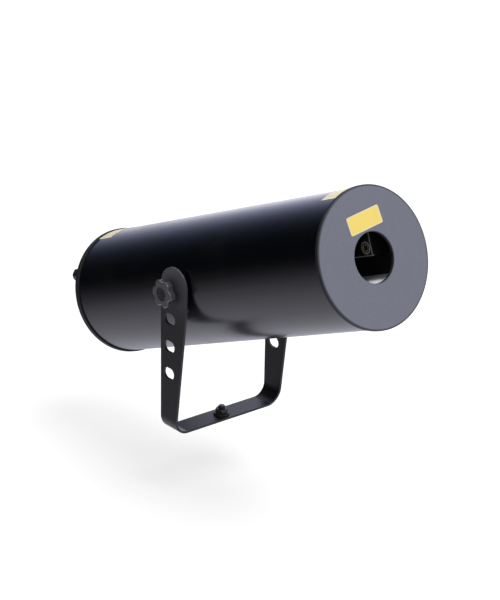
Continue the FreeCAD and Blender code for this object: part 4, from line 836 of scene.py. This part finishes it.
PANEL_FOOT = (-0.4, -0.05)
PANEL_HEAD = (0.15, 0.55)
DUSK_RISE = (-0.05, 0.2)
COOL = (0.955, 0.95, 1.09)
DUSK = (0.75, 0.9, 1.5)


def seen_white(start):
    """1 for rays that look at the background directly, in a gloss or through glass."""
    kinds = ("Camera", "Glossy", "Transmission")
    rays = [start.node("LightPath", output=f"Is {kind} Ray") for kind in kinds]
    return rays[0].maths("MAXIMUM", rays[1]).maths("MAXIMUM", rays[2])


def floor_paint(start):
    """White in the picture. It glows less near the part, where the lamps reach it, so the shadow stays."""
    x, y, z = axes(part_place(start))
    far = step(distance(x, y), GLOW_NEAR, GLOW_FAR)
    glow = blend(far, (NEAR_SHARE, NEAR_SHARE, NEAR_SHARE), (1, 1, 1))
    return {
        "Base Color": (0.82, 0.82, 0.82, 1),
        "Roughness": 1,
        "Specular IOR Level": 0,
        "Emission Color": blend(seen_white(start), (0, 0, 0), glow),
        "Emission Strength": FLOOR_GLOW,
    }


def clamped(value):
    return value.maths("MAXIMUM", 0).maths("MINIMUM", 1)


corners = [(x * FLOOR_REACH, y * FLOOR_REACH, FLOOR) for x, y in ((-1, -1), (1, -1), (1, 1), (-1, 1))]
floor_mesh = bpy.data.meshes.new("studio_floor")
floor_mesh.from_pydata(corners, [], [(0, 1, 2, 3)])
floor_mesh.materials.append(wear("studio_floor", [], floor_paint))
studio_floor = bpy.data.objects.new("studio_floor", floor_mesh)
bpy.context.scene.collection.objects.link(studio_floor)
studio_floor.visible_glossy = False

world = bpy.data.worlds.new("studio")
world.use_nodes = True
bpy.context.scene.world = world
sky = world.node_tree.nodes["Background"]
air = Tone(world.node_tree)
across, away, up = axes(air.node("TexCoord", output="Generated"))
leftward = (0 - across).maths("ARCTAN2", away)
below = step(0 - up, *OPEN_BELOW)
above = step(up, *OPEN_ABOVE)
right_side = clamped((FLAG_RIGHT - leftward) / FLAG_FADE)
left_side = clamped((leftward - FLAG_LEFT) / FLAG_FADE)
sides = (right_side * right_side).maths("MAXIMUM", left_side * left_side)
open_air = below.maths("MAXIMUM", above).maths("MAXIMUM", sides)
panel = (1 - (leftward - PANEL_AIM).maths("ABSOLUTE") / PANEL_FADE).maths("MAXIMUM", 0)
panel_height = step(up, *PANEL_FOOT) * (1 - step(up, *PANEL_HEAD))
gloss = air.node("LightPath", output="Is Glossy Ray")
glow = panel * panel * panel_height * PANEL_GAIN
flag = 1 + gloss * (glow - (1 - open_air) * FLAG_DEPTH)
brightness = AMBIENT + seen_white(air) * (flag - AMBIENT)
dusk = step(up, *DUSK_RISE) * (1 - open_air)
cool = blend(gloss, (1, 1, 1), blend(dusk, COOL, DUSK))
world.node_tree.links.new(brightness.socket, sky.inputs["Strength"])
world.node_tree.links.new(cool.socket, sky.inputs["Color"])


def lamp(name, place, size, power):
    """A soft square light that looks at the pivot."""
    light = bpy.data.lights.new(name, "AREA")
    light.size = size
    light.energy = power
    holder = bpy.data.objects.new(name, light)
    bpy.context.scene.collection.objects.link(holder)
    holder.location = place
    holder.rotation_euler = (Vector((0, 0, PIVOT)) - Vector(place)).to_track_quat("-Z", "Y").to_euler()


lamp("key", place=(0.3, -0.9, 1.9), size=1.3, power=20)
lamp("fill", place=(-1.1, -1.2, 0.9), size=1.2, power=6)


# Camera: a long lens on a stand, from in front on the left and a little above.
# It looks past the pivot, so that the part sits in the middle of the picture.
# Its stand is measured from the pivot.
LENS_LENGTH = 107.06
SENSOR_WIDTH = 36
STAND = (-0.90783, -1.07353, 0.53716)
RIGHT = (0.762, -0.6467, 0.0337)
UP = (0.2147, 0.3014, 0.929)
BACK = (-0.6109, -0.7007, 0.3685)

lens = bpy.data.cameras.new("camera")
lens.lens = LENS_LENGTH
lens.sensor_width = SENSOR_WIDTH
camera = bpy.data.objects.new("camera", lens)
bpy.context.scene.collection.objects.link(camera)
eye = Vector((0, 0, PIVOT)) + Vector(STAND)
camera.matrix_world = Matrix.Translation(eye) @ Matrix((RIGHT, UP, BACK)).transposed().to_4x4()
bpy.context.scene.camera = camera
bpy.context.scene.view_settings.view_transform = "Standard"
